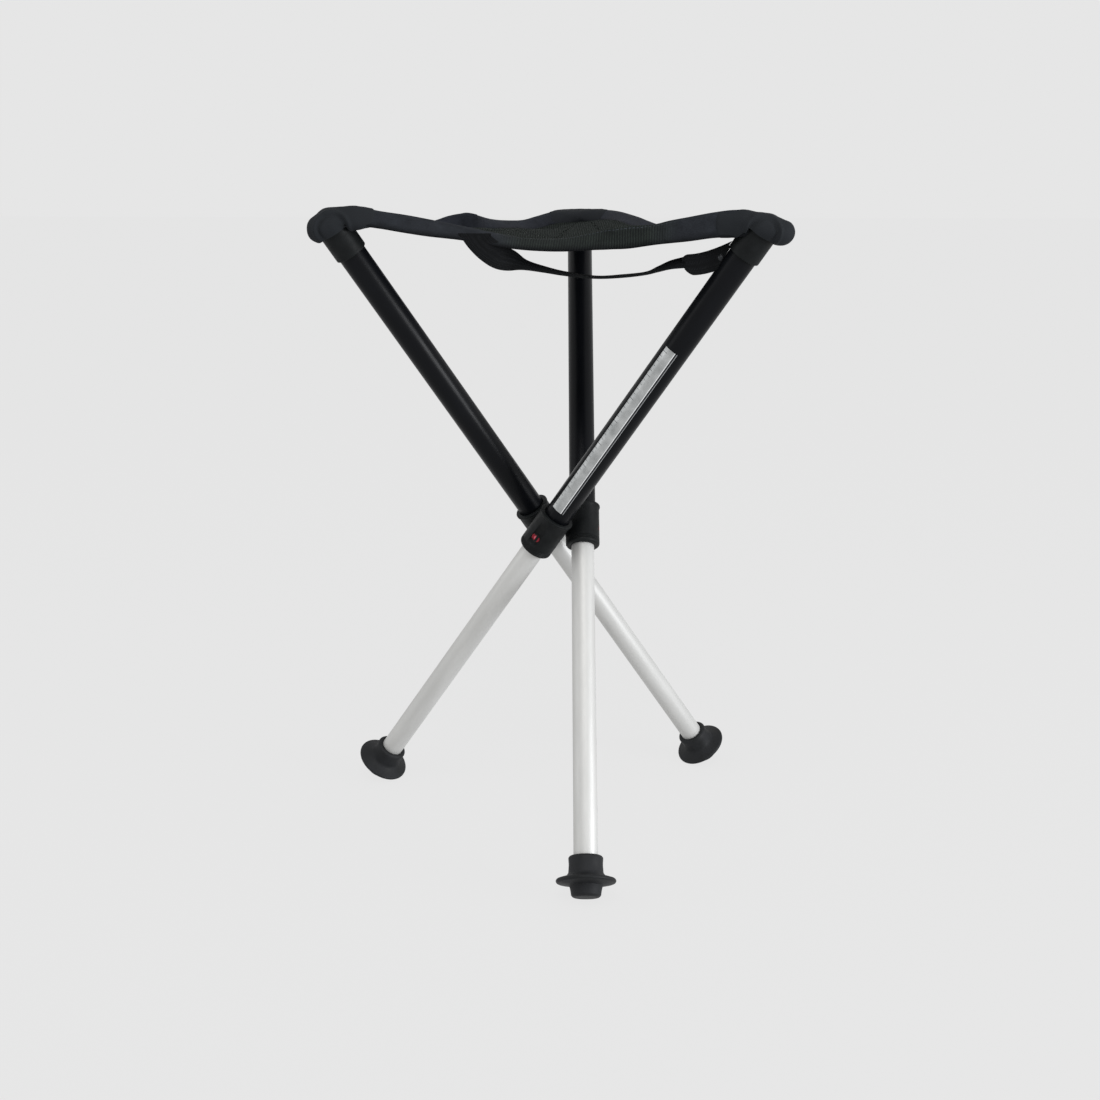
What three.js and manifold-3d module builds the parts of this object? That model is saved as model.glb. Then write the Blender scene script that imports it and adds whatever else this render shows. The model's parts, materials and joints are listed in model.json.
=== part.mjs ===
// A collapsible three-legged stool: three telescopic legs cross at a small hub and carry a cloth seat.
// Millimetres, +Z up. The front is -Y. The origin is on the floor, in the middle of the stool's plan.
import * as THREE from "three";
import { mergeVertices } from "three/addons/utils/BufferGeometryUtils.js";
import Module from "manifold-3d";

// Stance of the legs. A leg passes the middle of the hub sideways, and leans along that side.
const LEG_TILT = THREE.MathUtils.degToRad(36.2);
const LEG_AZIMUTHS = {
  a: THREE.MathUtils.degToRad(120),
  b: THREE.MathUtils.degToRad(240),
  c: 0,
};
const AXIS_OFFSET = 23.2; // hub centre to leg axis

// Clearances
const FIT_GAP = 0.3; // between pieces that touch on the real stool
const RUNNING_GAP = 0.2; // guide bush in the upper tube
const OVERRUN = 5; // how far a cutter passes the surface that it cuts
const WELD = 0.001; // points closer than this are one point

// Tubes
const UPPER_OD = 23.6;
const UPPER_WALL = 1.3;
const UPPER_SHOWN = 283.3; // between joint collar and top cap
const UPPER_SEAT = 8; // how far the upper tube reaches below the pivot
const LOWER_OD = 20.3;
const LOWER_WALL = 1.2;
const LOWER_SHOWN = 276; // between joint collar and foot
const LOWER_OVERLAP = 82; // inside the upper tube, with the leg drawn out

// Joint collar
const COLLAR_OD = 30.4;
const COLLAR_ABOVE = 22.9; // above the pivot
const COLLAR_BELOW = 16.5;
const COLLAR_LIP = 0.7; // how far the top lip stands out
const COLLAR_LIP_HEIGHT = 2.4;
const COLLAR_ROUNDING = 2.4;
const COLLAR_GROOVE = 0.4;
const COLLAR_GROOVE_HEIGHT = 0.9;
const COLLAR_GROOVE_RISE = 3.4; // groove above the lower end
const COLLAR_PAD_DIAMETER = 13;
const COLLAR_PAD = 0.4; // how far the pivot pad stands out of the collar

// Hub, pivot rivets and washers
const HUB_ARM_DIAMETER = 10.4;
const HUB_CHAMFER = 0.8;
const RIVET_DIAMETER = 4;
const RIVET_HEAD_DIAMETER = 7.2;
const RIVET_HEAD = 0.8;
const RIVET_BLIND = 2.6; // hub centre to the rivet's inner end
const WASHER_OD = 11;
const WASHER_THICKNESS = 0.8;

// Push button and catch
const BUTTON_DIAMETER = 8;
const BUTTON_HEAD = 1.4;
const BUTTON_DISH = 0.5;
const BUTTON_PROUD = 0.5; // out of the collar
const BUTTON_STEM_DIAMETER = 5;
const BUTTON_TRAVEL = 1.5;
const PRESS_GAP = 0.1; // left under the pushed button's head
const CATCH_NOSE_DIAMETER = 4.8;
const CATCH_STRIP_WIDTH = 5;
const CATCH_STRIP = 0.6; // thickness of the spring strip
const CATCH_RISE = 24; // how far the spring strip rises above its nose
const CATCH_DROP = 7;
const CATCH_BACK_DROP = 3;

// Guide bush on the lower tube's top
const BUSH_PLUG = 12;
const BUSH_RIM = 2;
const BUSH_WALL = 2;

// Top cap
const CAP_OD = 27.4;
const CAP_SLEEVE = 24.8; // straight part, from its lower rim
const CAP_TUBE_DEPTH = 14; // how far the upper tube enters the cap
const CAP_RIM_ROUNDING = 0.6;

// Foot
const FOOT_SOCKET = 22;
const FOOT_HEIGHT = 33.9;
const FOOT_MOUTH_WALL = 1.6;
const FOOT_NECK_DIAMETER = 29;
const FOOT_SHOULDER_RADIUS = 2.8;
const FOOT_FLANGE_DIAMETER = 49.8;
const FOOT_FLANGE_RIM = 3.8; // thickness of the flange's round rim
const FOOT_FLANGE_DROP = 20.6; // foot's top to the middle of the rim
const FOOT_FLANGE_ROOT = 15.4; // foot's top to where the flange leaves the neck
const FOOT_BOSS_DROP = 24.4; // foot's top to where the boss leaves the flange
const FOOT_BOSS_TOP_DIAMETER = 28;
const FOOT_BOSS_DIAMETER = 25;
const FOOT_BOSS_ROUNDING = 3;
const SOLE_FLAT = 0.7; // rubber pressed flat under the boss's lowest edge

// Seat cloth, edge bands and corner pockets
const CLOTH = 2;
const SEAT_ATTACH_DROP = 10.4; // cap dome's top to the cloth's edge at a corner
const SEAT_SAGS = { ab: 19.5, bc: 12, ca: 11 };
const SEAT_BELLY = 4; // further sag of the middle
const EDGE_BOW = 13; // how far an edge curves in, halfway along
const EDGE_PASS = 9; // how far an edge passes outside the leg's axis
const BAND_WIDTH = 16.5;
const BAND_THICKNESS = 3.4;
const BAND_LIFT = 4.6; // cloth's edge to the middle of the band
const BAND_LEANS = { end: THREE.MathUtils.degToRad(6), middle: THREE.MathUtils.degToRad(60) };
const BAND_START_SHARE = 0.04; // of an edge, hidden in the corner pocket
const POCKET_WALL = 2;
const POCKET_TOE = 7; // middle of the dome to the middle of the toe, outwards
const POCKET_TOE_DROP = 3;
const POCKET_MOUTH = 5.5; // cap's straight part covered by the pocket

// Strap, its tab and the tab's rivet
const STRAP_WIDTH = 20;
const STRAP_THICKNESS = 1.6;
const STRAP_DROP = 50; // cap dome's top to the strap's lowest run
const STRAP_INSET = 6; // strap's run behind the line between the legs' tops
const TAB_WIDTH = 17;
const TAB_THICKNESS = 2.4;
const TAB_RISE = 16;
const TAB_LOW_RISE = 9.5; // strap's lowest run to the tab's lower end
const TAB_LOW_REACH = 60.6; // leg b's top to the tab's lower end
const TAB_HIGH_REACH = 7.7; // leg b's top to the tab's upper end
const RIVET_CAP_DIAMETER = 5;
const RIVET_CAP = 1; // thickness of the tab rivet's heads
const RIVET_PIN_DIAMETER = 2.4;
const RIVET_TO_TUBE = 1.5; // gap between the rivet's head and leg b's upper tube

// The strap's route: shares of the way from leg a's top to the tab, of the drop, of the inset, and of a
// quarter turn from facing forwards to lying flat.
const STRAP_ROUTE_SHARES = [
  [0.418, 0.33, 0.7, 0],
  [0.454, 0.5, 0.75, 0],
  [0.484, 0.66, 0.8, 0.06],
  [0.527, 0.82, 0.9, 0.55],
  [0.597, 0.925, 1, 0.85],
  [0.683, 0.985, 1, 0.96],
  [0.765, 1, 1, 0.97],
  [0.844, 0.985, 1, 0.95],
  [0.897, 0.935, 0.95, 0.88],
  [0.954, 0.85, 0.85, 0.8],
  [1.007, 0.8, 0.7, 0.74],
];
// The tab's outline: shares of its length and of its width.
const TAB_OUTLINE_SHARES = [[0, 0.55], [0.12, 1], [1, 1]];

// Size plate on leg b's upper tube
const PLATE_START = 33;
const PLATE_LENGTH = 179;
const PLATE_THICKNESS = 0.4;
const PLATE_SPAN = THREE.MathUtils.degToRad(58);
const PLATE_TURN = THREE.MathUtils.degToRad(5);

// Counts
const ROUND_STEPS = 24;
const SMALL_STEPS = 16;
const DOME_STEPS = 5;
const CORNER_STEPS = 2;
const SEAT_STEPS = 16;
const BAND_STEPS = 20;
const STRAP_STEPS = 24;
const PLATE_STEPS = 6;

// Worked out from the sizes above
const upperRadius = UPPER_OD / 2;
const upperBore = upperRadius - UPPER_WALL;
const lowerRadius = LOWER_OD / 2;
const lowerBore = lowerRadius - LOWER_WALL;
const collarRadius = COLLAR_OD / 2;
const capRadius = CAP_OD / 2;
const capRim = COLLAR_ABOVE + UPPER_SHOWN;
const upperTop = capRim + CAP_TUBE_DEPTH;
const domeCentre = capRim + CAP_SLEEVE;
const lowerTop = LOWER_OVERLAP - UPPER_SEAT;
const footTop = -(COLLAR_BELOW + LOWER_SHOWN);
const padFace = AXIS_OFFSET - collarRadius - COLLAR_PAD; // measured from the hub's centre
const armEnd = padFace - WASHER_THICKNESS - 2 * FIT_GAP;
const pocketRadius = capRadius + FIT_GAP + POCKET_WALL;

// Height of the floor below the hub: the lowest point of the boss's rounded edge, less its flat.
const bossEdgeRadius = FOOT_BOSS_DIAMETER / 2 - FOOT_BOSS_ROUNDING;
const bossEdge = footTop - FOOT_HEIGHT + FOOT_BOSS_ROUNDING;
const floorZ =
  bossEdge * Math.cos(LEG_TILT) - bossEdgeRadius * Math.sin(LEG_TILT) - FOOT_BOSS_ROUNDING + SOLE_FLAT;

const MATERIALS = {
  blackTube: { color: 0x1b1d21, roughness: 0.36, metalness: 0.6 },
  silverTube: { color: 0xc9cbcc, roughness: 0.42, metalness: 0.75 },
  blackPlastic: { color: 0x17191b, roughness: 0.5, metalness: 0 },
  whitePlastic: { color: 0xd8d6cf, roughness: 0.5, metalness: 0 },
  redPlastic: { color: 0x7d0f1b, roughness: 0.35, metalness: 0 },
  rubber: { color: 0x1d1f21, roughness: 0.75, metalness: 0 },
  steel: { color: 0xa8abad, roughness: 0.3, metalness: 0.9 },
  springSteel: { color: 0x74797d, roughness: 0.35, metalness: 0.9 },
  meshCloth: { color: 0x23292a, roughness: 0.9, metalness: 0 },
  bandCloth: { color: 0x1c1f26, roughness: 0.85, metalness: 0 },
  webbing: { color: 0x15171a, roughness: 0.85, metalness: 0 },
  plate: { color: 0xbfc2c4, roughness: 0.4, metalness: 0.5 },
};

// Solids and booleans
const wasm = await Module();
wasm.setup();

function solidOf(geometry) {
  const bare = geometry.clone();
  bare.deleteAttribute("normal");
  bare.deleteAttribute("uv");
  const merged = mergeVertices(bare, WELD);
  const triVerts = new Uint32Array(merged.index.array);
  return new wasm.Manifold(
    new wasm.Mesh({ numProp: 3, vertProperties: merged.attributes.position.array, triVerts }),
  );
}

function geometryOf(solid) {
  const made = solid.getMesh();
  const places = [];
  for (let i = 0; i < made.numVert; i++) {
    const at = i * made.numProp;
    places.push(made.vertProperties[at], made.vertProperties[at + 1], made.vertProperties[at + 2]);
  }
  const indexed = new THREE.BufferGeometry();
  indexed.setAttribute("position", new THREE.Float32BufferAttribute(places, 3));
  indexed.setIndex([...made.triVerts]);
  const geometry = indexed.toNonIndexed();
  geometry.computeVertexNormals();
  return geometry;
}

function piece(name, solid, look) {
  const mesh = new THREE.Mesh(geometryOf(solid), new THREE.MeshStandardMaterial(MATERIALS[look]));
  mesh.name = name;
  return mesh;
}

// A closed profile of [radius, height] pairs, turned about Z. It runs anticlockwise.
function turned(profile, steps = ROUND_STEPS) {
  const closed = [...profile, profile[0]].map(([r, z]) => new THREE.Vector2(r, z));
  return solidOf(new THREE.LatheGeometry(closed, steps).rotateX(Math.PI / 2));
}

// The same for a profile that starts and ends on the axis.
function turnedSolid(profile, steps = ROUND_STEPS) {
  const points = profile.map(([r, z]) => new THREE.Vector2(r, z));
  return solidOf(new THREE.LatheGeometry(points, steps).rotateX(Math.PI / 2));
}

function ring(inner, outer, low, high, steps = ROUND_STEPS) {
  return turned([[outer, low], [outer, high], [inner, high], [inner, low]], steps);
}

function rod(radius, low, high, steps = SMALL_STEPS) {
  return turnedSolid([[0, low], [radius, low], [radius, high], [0, high]], steps);
}

// A rod along X, from one x to another.
function rodAlongX(radius, from, to, steps = SMALL_STEPS) {
  return rod(radius, from, to, steps).rotate([0, 90, 0]);
}

// Points of a quarter circle or other arc, as [radius, height] pairs.
function arc(centreR, centreZ, radius, fromAngle, toAngle, steps) {
  const points = [];
  for (let i = 0; i <= steps; i++) {
    const angle = THREE.MathUtils.degToRad(fromAngle + ((toAngle - fromAngle) * i) / steps);
    points.push([centreR + radius * Math.cos(angle), centreZ + radius * Math.sin(angle)]);
  }
  return points;
}

// A closed skin through rings of points, each ring with as many points, capped by a fan at both ends.
function loft(rings) {
  const count = rings[0].length;
  const places = rings.flat().flatMap((p) => [p.x, p.y, p.z]);
  const faces = [];
  for (let i = 0; i + 1 < rings.length; i++)
    for (let j = 0; j < count; j++) {
      const k = (j + 1) % count;
      const a = i * count + j;
      const b = i * count + k;
      faces.push(a, b, b + count, a, b + count, a + count);
    }
  const last = (rings.length - 1) * count;
  for (let j = 1; j + 1 < count; j++) {
    faces.push(0, j + 1, j);
    faces.push(last, last + j, last + j + 1);
  }
  const geometry = new THREE.BufferGeometry();
  geometry.setAttribute("position", new THREE.Float32BufferAttribute(places, 3));
  geometry.setIndex(faces);
  return solidOf(geometry);
}

// Pieces of a leg. In a leg's frame Z runs up the leg, zero is level with the pivot, and +X points
// away from the hub.
function upperTube() {
  const hole = rodAlongX(BUTTON_STEM_DIAMETER / 2 + FIT_GAP, lowerRadius, upperRadius + OVERRUN);
  return ring(upperBore, upperRadius, -UPPER_SEAT, upperTop).subtract(hole);
}

function lowerTube() {
  const hole = rodAlongX(CATCH_NOSE_DIAMETER / 2 + FIT_GAP, lowerBore - UPPER_WALL, lowerRadius + OVERRUN);
  return ring(lowerBore, lowerRadius, footTop - FOOT_SOCKET, lowerTop).subtract(hole);
}

function jointCollar() {
  const mouth = lowerRadius + FIT_GAP;
  const bore = upperRadius + FIT_GAP;
  const grooveLow = -COLLAR_BELOW + COLLAR_GROOVE_RISE;
  const grooveHigh = grooveLow + COLLAR_GROOVE_HEIGHT;
  const lip = collarRadius + COLLAR_LIP;
  const lipLow = COLLAR_ABOVE - COLLAR_LIP_HEIGHT;
  const rounding = arc(
    collarRadius - COLLAR_ROUNDING, -COLLAR_BELOW + COLLAR_ROUNDING, COLLAR_ROUNDING, -90, 0, CORNER_STEPS,
  );
  const body = turned([
    [mouth, -COLLAR_BELOW],
    ...rounding,
    [collarRadius, grooveLow],
    [collarRadius - COLLAR_GROOVE, grooveLow + COLLAR_GROOVE_HEIGHT / 2],
    [collarRadius, grooveHigh],
    [collarRadius, lipLow - COLLAR_LIP],
    [lip, lipLow],
    [lip, COLLAR_ABOVE - COLLAR_LIP],
    [collarRadius, COLLAR_ABOVE],
    [bore, COLLAR_ABOVE],
    [bore, -UPPER_SEAT - FIT_GAP],
    [mouth, -UPPER_SEAT - FIT_GAP],
  ]);
  const pad = rodAlongX(COLLAR_PAD_DIAMETER / 2, padFace - AXIS_OFFSET, -bore, ROUND_STEPS);
  const rivetHole = rodAlongX(RIVET_DIAMETER / 2 + FIT_GAP, -collarRadius - OVERRUN, -upperRadius);
  const headSeat = rodAlongX(
    RIVET_HEAD_DIAMETER / 2 + FIT_GAP, -bore - RIVET_HEAD - FIT_GAP, -upperRadius,
  );
  const headRoom = buttonBase() - BUTTON_TRAVEL - PRESS_GAP;
  const buttonWell = rodAlongX(BUTTON_DIAMETER / 2 + FIT_GAP, headRoom, collarRadius + OVERRUN, ROUND_STEPS);
  const stemHole = rodAlongX(BUTTON_STEM_DIAMETER / 2 + FIT_GAP, upperRadius, collarRadius);
  const cavity = rod(bore, -UPPER_SEAT - FIT_GAP, COLLAR_ABOVE + OVERRUN, ROUND_STEPS);
  return body.add(pad.subtract(cavity)).subtract(rivetHole).subtract(headSeat)
    .subtract(buttonWell).subtract(stemHole);
}

// Underside of the button's head, from the leg's axis.
function buttonBase() {
  return collarRadius + BUTTON_PROUD - BUTTON_HEAD;
}

function pushButton() {
  const radius = BUTTON_DIAMETER / 2;
  const stem = BUTTON_STEM_DIAMETER / 2;
  const face = collarRadius + BUTTON_PROUD;
  const edge = BUTTON_DISH / 2;
  return turnedSolid([
    [0, upperBore + BUTTON_TRAVEL],
    [stem, upperBore + BUTTON_TRAVEL],
    [stem, buttonBase()],
    [radius, buttonBase()],
    [radius, face - edge],
    [radius - edge, face],
    [radius - 2 * BUTTON_DISH, face],
    [radius / 2, face - BUTTON_DISH],
    [0, face - BUTTON_DISH],
  ], SMALL_STEPS).rotate([0, 90, 0]);
}

// A bent spring strip inside the lower tube, with a nose that locks the tubes.
function catchSpring() {
  const noseEnd = upperBore + BUTTON_TRAVEL - FIT_GAP;
  const half = CATCH_STRIP_WIDTH / 2;
  const wallAt = Math.sqrt(lowerBore ** 2 - half ** 2) - FIT_GAP;
  const outline = new THREE.Shape();
  outline.moveTo(wallAt, -CATCH_DROP);
  outline.lineTo(wallAt, CATCH_RISE - wallAt);
  outline.absarc(0, CATCH_RISE - wallAt, wallAt, 0, Math.PI, false);
  outline.lineTo(-wallAt, -CATCH_BACK_DROP);
  outline.lineTo(-wallAt + CATCH_STRIP, -CATCH_BACK_DROP);
  outline.lineTo(-wallAt + CATCH_STRIP, CATCH_RISE - wallAt);
  outline.absarc(0, CATCH_RISE - wallAt, wallAt - CATCH_STRIP, Math.PI, 0, true);
  outline.lineTo(wallAt - CATCH_STRIP, -CATCH_DROP);
  const strip = new THREE.ExtrudeGeometry(outline, {
    depth: CATCH_STRIP_WIDTH, bevelEnabled: false, curveSegments: DOME_STEPS,
  });
  strip.translate(0, 0, -half);
  strip.rotateX(Math.PI / 2);
  const nose = rodAlongX(CATCH_NOSE_DIAMETER / 2, wallAt - CATCH_STRIP, noseEnd);
  return solidOf(strip).add(nose);
}

function guideBush() {
  const plug = lowerBore - FIT_GAP;
  const rim = upperBore - RUNNING_GAP;
  const bore = plug - BUSH_WALL;
  const low = lowerTop - BUSH_PLUG;
  const top = lowerTop + FIT_GAP + BUSH_RIM;
  return turned([
    [plug, low],
    [plug, lowerTop + FIT_GAP],
    [rim, lowerTop + FIT_GAP],
    [rim, top],
    [bore, top],
    [bore, low],
  ]);
}

// Straight sleeve with a domed end. Grown by a clearance it is also the room inside the pocket.
function topCap() {
  const bore = upperRadius + FIT_GAP;
  return turnedSolid([
    [0, upperTop + FIT_GAP],
    [bore, upperTop + FIT_GAP],
    [bore, capRim],
    [capRadius - CAP_RIM_ROUNDING, capRim],
    [capRadius, capRim + CAP_RIM_ROUNDING],
    ...arc(0, domeCentre, capRadius, 0, 90, DOME_STEPS),
  ]);
}

function pocketRoom() {
  const radius = capRadius + FIT_GAP;
  return turnedSolid([
    [0, capRim - OVERRUN],
    [radius, capRim - OVERRUN],
    ...arc(0, domeCentre, radius, 0, 90, DOME_STEPS),
  ]);
}

// Outside of the corner pocket: a dome over the cap with a round toe that points away from the seat's
// middle. The toe lies level, so it is placed along the level direction in the leg's frame.
function pocketForm(grow) {
  const radius = pocketRadius + grow;
  const mouth = domeCentre - POCKET_MOUTH - grow;
  const dome = turnedSolid([
    [0, mouth],
    [radius, mouth],
    ...arc(0, domeCentre, radius, 0, 90, DOME_STEPS),
  ]);
  const toeRadius = radius - POCKET_WALL;
  const toeY = POCKET_TOE * Math.cos(LEG_TILT) + POCKET_TOE_DROP * Math.sin(LEG_TILT);
  const toeZ = domeCentre + POCKET_TOE * Math.sin(LEG_TILT) - POCKET_TOE_DROP * Math.cos(LEG_TILT);
  const toe = turnedSolid(arc(0, 0, toeRadius, -90, 90, 2 * DOME_STEPS), ROUND_STEPS)
    .translate([0, toeY, toeZ]);
  const belowMouth = rod(2 * radius, mouth - 2 * radius, mouth, ROUND_STEPS);
  return dome.add(toe).subtract(belowMouth);
}

function cornerPocket() {
  return pocketForm(0).subtract(pocketRoom());
}

function foot() {
  const neck = FOOT_NECK_DIAMETER / 2;
  const socket = lowerRadius + FIT_GAP;
  const rim = FOOT_FLANGE_RIM / 2;
  const flange = FOOT_FLANGE_DIAMETER / 2 - rim;
  const boss = FOOT_BOSS_DIAMETER / 2;
  const down = (drop) => footTop - drop;
  const bossEnd = down(FOOT_HEIGHT);
  const body = turnedSolid([
    [0, bossEnd],
    ...arc(boss - FOOT_BOSS_ROUNDING, bossEnd + FOOT_BOSS_ROUNDING, FOOT_BOSS_ROUNDING, -90, 0, CORNER_STEPS),
    [FOOT_BOSS_TOP_DIAMETER / 2, down(FOOT_BOSS_DROP)],
    ...arc(flange, down(FOOT_FLANGE_DROP), rim, -75, 75, CORNER_STEPS),
    [neck + rim / 2, down(FOOT_FLANGE_ROOT)],
    [neck, down(FOOT_FLANGE_ROOT - rim)],
    ...arc(
      neck - FOOT_SHOULDER_RADIUS, down(FOOT_SHOULDER_RADIUS), FOOT_SHOULDER_RADIUS, 12, 80, CORNER_STEPS,
    ),
    [socket + FOOT_MOUTH_WALL, footTop],
    [socket, footTop],
    [socket, down(FOOT_SOCKET + FIT_GAP)],
    [0, down(FOOT_SOCKET + FIT_GAP)],
  ]);
  // The floor, tilted into the leg's frame, presses a flat on the boss.
  const slab = FOOT_FLANGE_DIAMETER * 2;
  const floor = new THREE.BoxGeometry(slab, slab, slab).translate(0, 0, floorZ - slab / 2);
  floor.translate(0, footTop * Math.sin(LEG_TILT), 0).rotateX(LEG_TILT);
  return body.subtract(solidOf(floor));
}

function sizePlate() {
  const inner = upperRadius + FIT_GAP;
  const outline = new THREE.Shape();
  outline.absarc(0, 0, inner + PLATE_THICKNESS, -PLATE_SPAN / 2, PLATE_SPAN / 2, false);
  outline.absarc(0, 0, inner, PLATE_SPAN / 2, -PLATE_SPAN / 2, true);
  const plate = new THREE.ExtrudeGeometry(outline, {
    depth: PLATE_LENGTH, bevelEnabled: false, curveSegments: PLATE_STEPS,
  });
  plate.rotateZ(PLATE_TURN).translate(0, 0, PLATE_START);
  return solidOf(plate);
}

// Pieces at the pivots. Their Z runs out of the hub along the pivot's axis.
function pivotRivet() {
  const shank = RIVET_DIAMETER / 2;
  const headSeat = AXIS_OFFSET - upperRadius - FIT_GAP - RIVET_HEAD;
  return turnedSolid([
    [0, RIVET_BLIND],
    [shank, RIVET_BLIND],
    [shank, headSeat],
    [RIVET_HEAD_DIAMETER / 2, headSeat],
    [RIVET_HEAD_DIAMETER / 2, headSeat + RIVET_HEAD],
    [0, headSeat + RIVET_HEAD],
  ], SMALL_STEPS);
}

function pivotWasher() {
  const low = armEnd + FIT_GAP;
  return ring(RIVET_DIAMETER / 2 + FIT_GAP, WASHER_OD / 2, low, low + WASHER_THICKNESS, SMALL_STEPS);
}

// Three stub arms that grow out of one core, each with a blind hole for its rivet.
function hub() {
  const radius = HUB_ARM_DIAMETER / 2;
  const arm = turnedSolid([
    [0, 0],
    [radius, 0],
    [radius, armEnd - HUB_CHAMFER],
    [radius - HUB_CHAMFER, armEnd],
    [0, armEnd],
  ], SMALL_STEPS).rotate([0, 90, 0]);
  const hole = rodAlongX(RIVET_DIAMETER / 2 + FIT_GAP, RIVET_BLIND - FIT_GAP, armEnd + OVERRUN);
  const turns = Object.values(LEG_AZIMUTHS).map((angle) => THREE.MathUtils.radToDeg(angle));
  const core = turnedSolid([
    [0, -radius],
    [radius - HUB_CHAMFER, -radius],
    [radius, HUB_CHAMFER - radius],
    [radius, radius - HUB_CHAMFER],
    [radius - HUB_CHAMFER, radius],
    [0, radius],
  ], SMALL_STEPS);
  const body = turns.reduce((made, turn) => made.add(arm.rotate([0, 0, turn])), core);
  return turns.reduce((made, turn) => made.subtract(hole.rotate([0, 0, turn])), body);
}

// Seat. Its frame is the hub's: level, with the origin at the hub's centre.
const domeTop = domeCentre * Math.cos(LEG_TILT) + capRadius;
const attachZ = domeTop - SEAT_ATTACH_DROP;

function legPoint(leg, along) {
  const side = new THREE.Vector3(AXIS_OFFSET, along * Math.sin(LEG_TILT), along * Math.cos(LEG_TILT));
  return side.applyAxisAngle(new THREE.Vector3(0, 0, 1), LEG_AZIMUTHS[leg]);
}

// The corner where two edges of the cloth would meet, outside the leg's top.
function seatCorner(leg) {
  const top = legPoint(leg, domeCentre).setZ(0);
  const reach = top.length() + EDGE_PASS / Math.sin(Math.PI / 6);
  return top.setLength(reach);
}

const EDGES = [
  { name: "ab", from: "a", to: "b" },
  { name: "bc", from: "b", to: "c" },
  { name: "ca", from: "c", to: "a" },
];

const middleShare = 1 / EDGES.length; // of each corner, in the middle of the cloth

// A point of the cloth from its shares of the three corners: level ends, edges that bow in and sag.
function clothPoint(shares) {
  const point = new THREE.Vector3(0, 0, attachZ);
  for (const leg of Object.keys(LEG_AZIMUTHS)) point.addScaledVector(seatCorner(leg), shares[leg]);
  for (const { name, from, to } of EDGES) {
    const both = shares[from] + shares[to];
    if (both < WELD) continue;
    const dip = Math.sin((Math.PI * shares[to]) / both) ** 2 * both ** 2;
    const out = seatCorner(from).add(seatCorner(to)).normalize();
    point.addScaledVector(out, -EDGE_BOW * dip);
    point.z -= SEAT_SAGS[name] * dip;
  }
  point.z -= (SEAT_BELLY * shares.a * shares.b * shares.c) / middleShare ** 3;
  return point;
}

function edgePoint(edge, share) {
  return clothPoint({ a: 0, b: 0, c: 0, [edge.from]: 1 - share, [edge.to]: share });
}

function seatPanel(grow = 0) {
  const rows = [];
  for (let i = 0; i <= SEAT_STEPS; i++) {
    rows.push([]);
    for (let j = 0; j <= SEAT_STEPS - i; j++) {
      const shares = { a: i / SEAT_STEPS, b: j / SEAT_STEPS, c: (SEAT_STEPS - i - j) / SEAT_STEPS };
      rows[i].push(clothPoint(shares));
    }
  }
  const number = new Map();
  const points = rows.flat();
  points.forEach((point, index) => number.set(point, index));
  const faces = [];
  const below = points.length;
  const face = (p, q, r) => {
    const [a, b, c] = [p, q, r].map((point) => number.get(point));
    faces.push(a, b, c, a + below, c + below, b + below);
  };
  for (let i = 0; i < SEAT_STEPS; i++)
    for (let j = 0; j < SEAT_STEPS - i; j++) {
      face(rows[i][j], rows[i + 1][j], rows[i][j + 1]);
      if (j + 1 < SEAT_STEPS - i) face(rows[i + 1][j], rows[i + 1][j + 1], rows[i][j + 1]);
    }
  const rim = [
    ...rows[0],
    ...rows.slice(1).map((row) => row.at(-1)),
    ...rows.slice(1, -1).map((row) => row[0]).reverse(),
  ].map((point) => number.get(point));
  rim.forEach((a, k) => {
    const b = rim[(k + 1) % rim.length];
    faces.push(b, b + below, a + below, b, a + below, a);
  });
  const places = [
    ...points.flatMap((p) => [p.x, p.y, p.z + CLOTH / 2 + grow]),
    ...points.flatMap((p) => [p.x, p.y, p.z - CLOTH / 2 - grow]),
  ];
  const geometry = new THREE.BufferGeometry();
  geometry.setAttribute("position", new THREE.Float32BufferAttribute(places, 3));
  geometry.setIndex(faces);
  return solidOf(geometry);
}

// Directions across a band at a share of its edge's length: along its width and out of its face.
function bandAxes(edge, share) {
  const out = seatCorner(edge.from).add(seatCorner(edge.to)).normalize();
  const up = new THREE.Vector3(0, 0, 1);
  const lean = THREE.MathUtils.lerp(BAND_LEANS.end, BAND_LEANS.middle, Math.sin(Math.PI * share) ** 2);
  return {
    width: up.clone().multiplyScalar(Math.cos(lean)).addScaledVector(out, -Math.sin(lean)),
    face: out.clone().multiplyScalar(Math.cos(lean)).addScaledVector(up, Math.sin(lean)),
  };
}

function bandCentre(edge, share) {
  return edgePoint(edge, share).addScaledVector(bandAxes(edge, share).width, BAND_LIFT);
}

// A flat strip with rounded edges, along an edge of the cloth.
function edgeBand(edge, grow = 0) {
  const half = BAND_WIDTH / 2 + grow;
  const deep = BAND_THICKNESS / 2 + grow;
  const section = [
    [half, -deep / 2], [half, deep / 2], [half - deep, deep], [deep - half, deep],
    [-half, deep / 2], [-half, -deep / 2], [deep - half, -deep], [half - deep, -deep],
  ];
  const rings = [];
  for (let i = 0; i <= BAND_STEPS; i++) {
    const share = THREE.MathUtils.lerp(BAND_START_SHARE, 1 - BAND_START_SHARE, i / BAND_STEPS);
    const centre = bandCentre(edge, share);
    const { width, face } = bandAxes(edge, share);
    rings.push(section.map(([w, f]) => centre.clone().addScaledVector(width, w).addScaledVector(face, f)));
  }
  return loft(rings);
}

// A place under the front edge: how far it is from leg b's top towards leg a's, its height and its inset.
const [front] = EDGES;
const inwards = seatCorner(front.from).add(seatCorner(front.to)).normalize().negate();
const frontSpan = legPoint(front.from, domeCentre).distanceTo(legPoint(front.to, domeCentre));
const strapZ = domeTop - STRAP_DROP;

function underFront(reach, height, inset) {
  const place = legPoint(front.to, domeCentre).lerp(legPoint(front.from, domeCentre), reach / frontSpan);
  return place.addScaledVector(inwards, inset).setZ(height);
}

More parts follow.
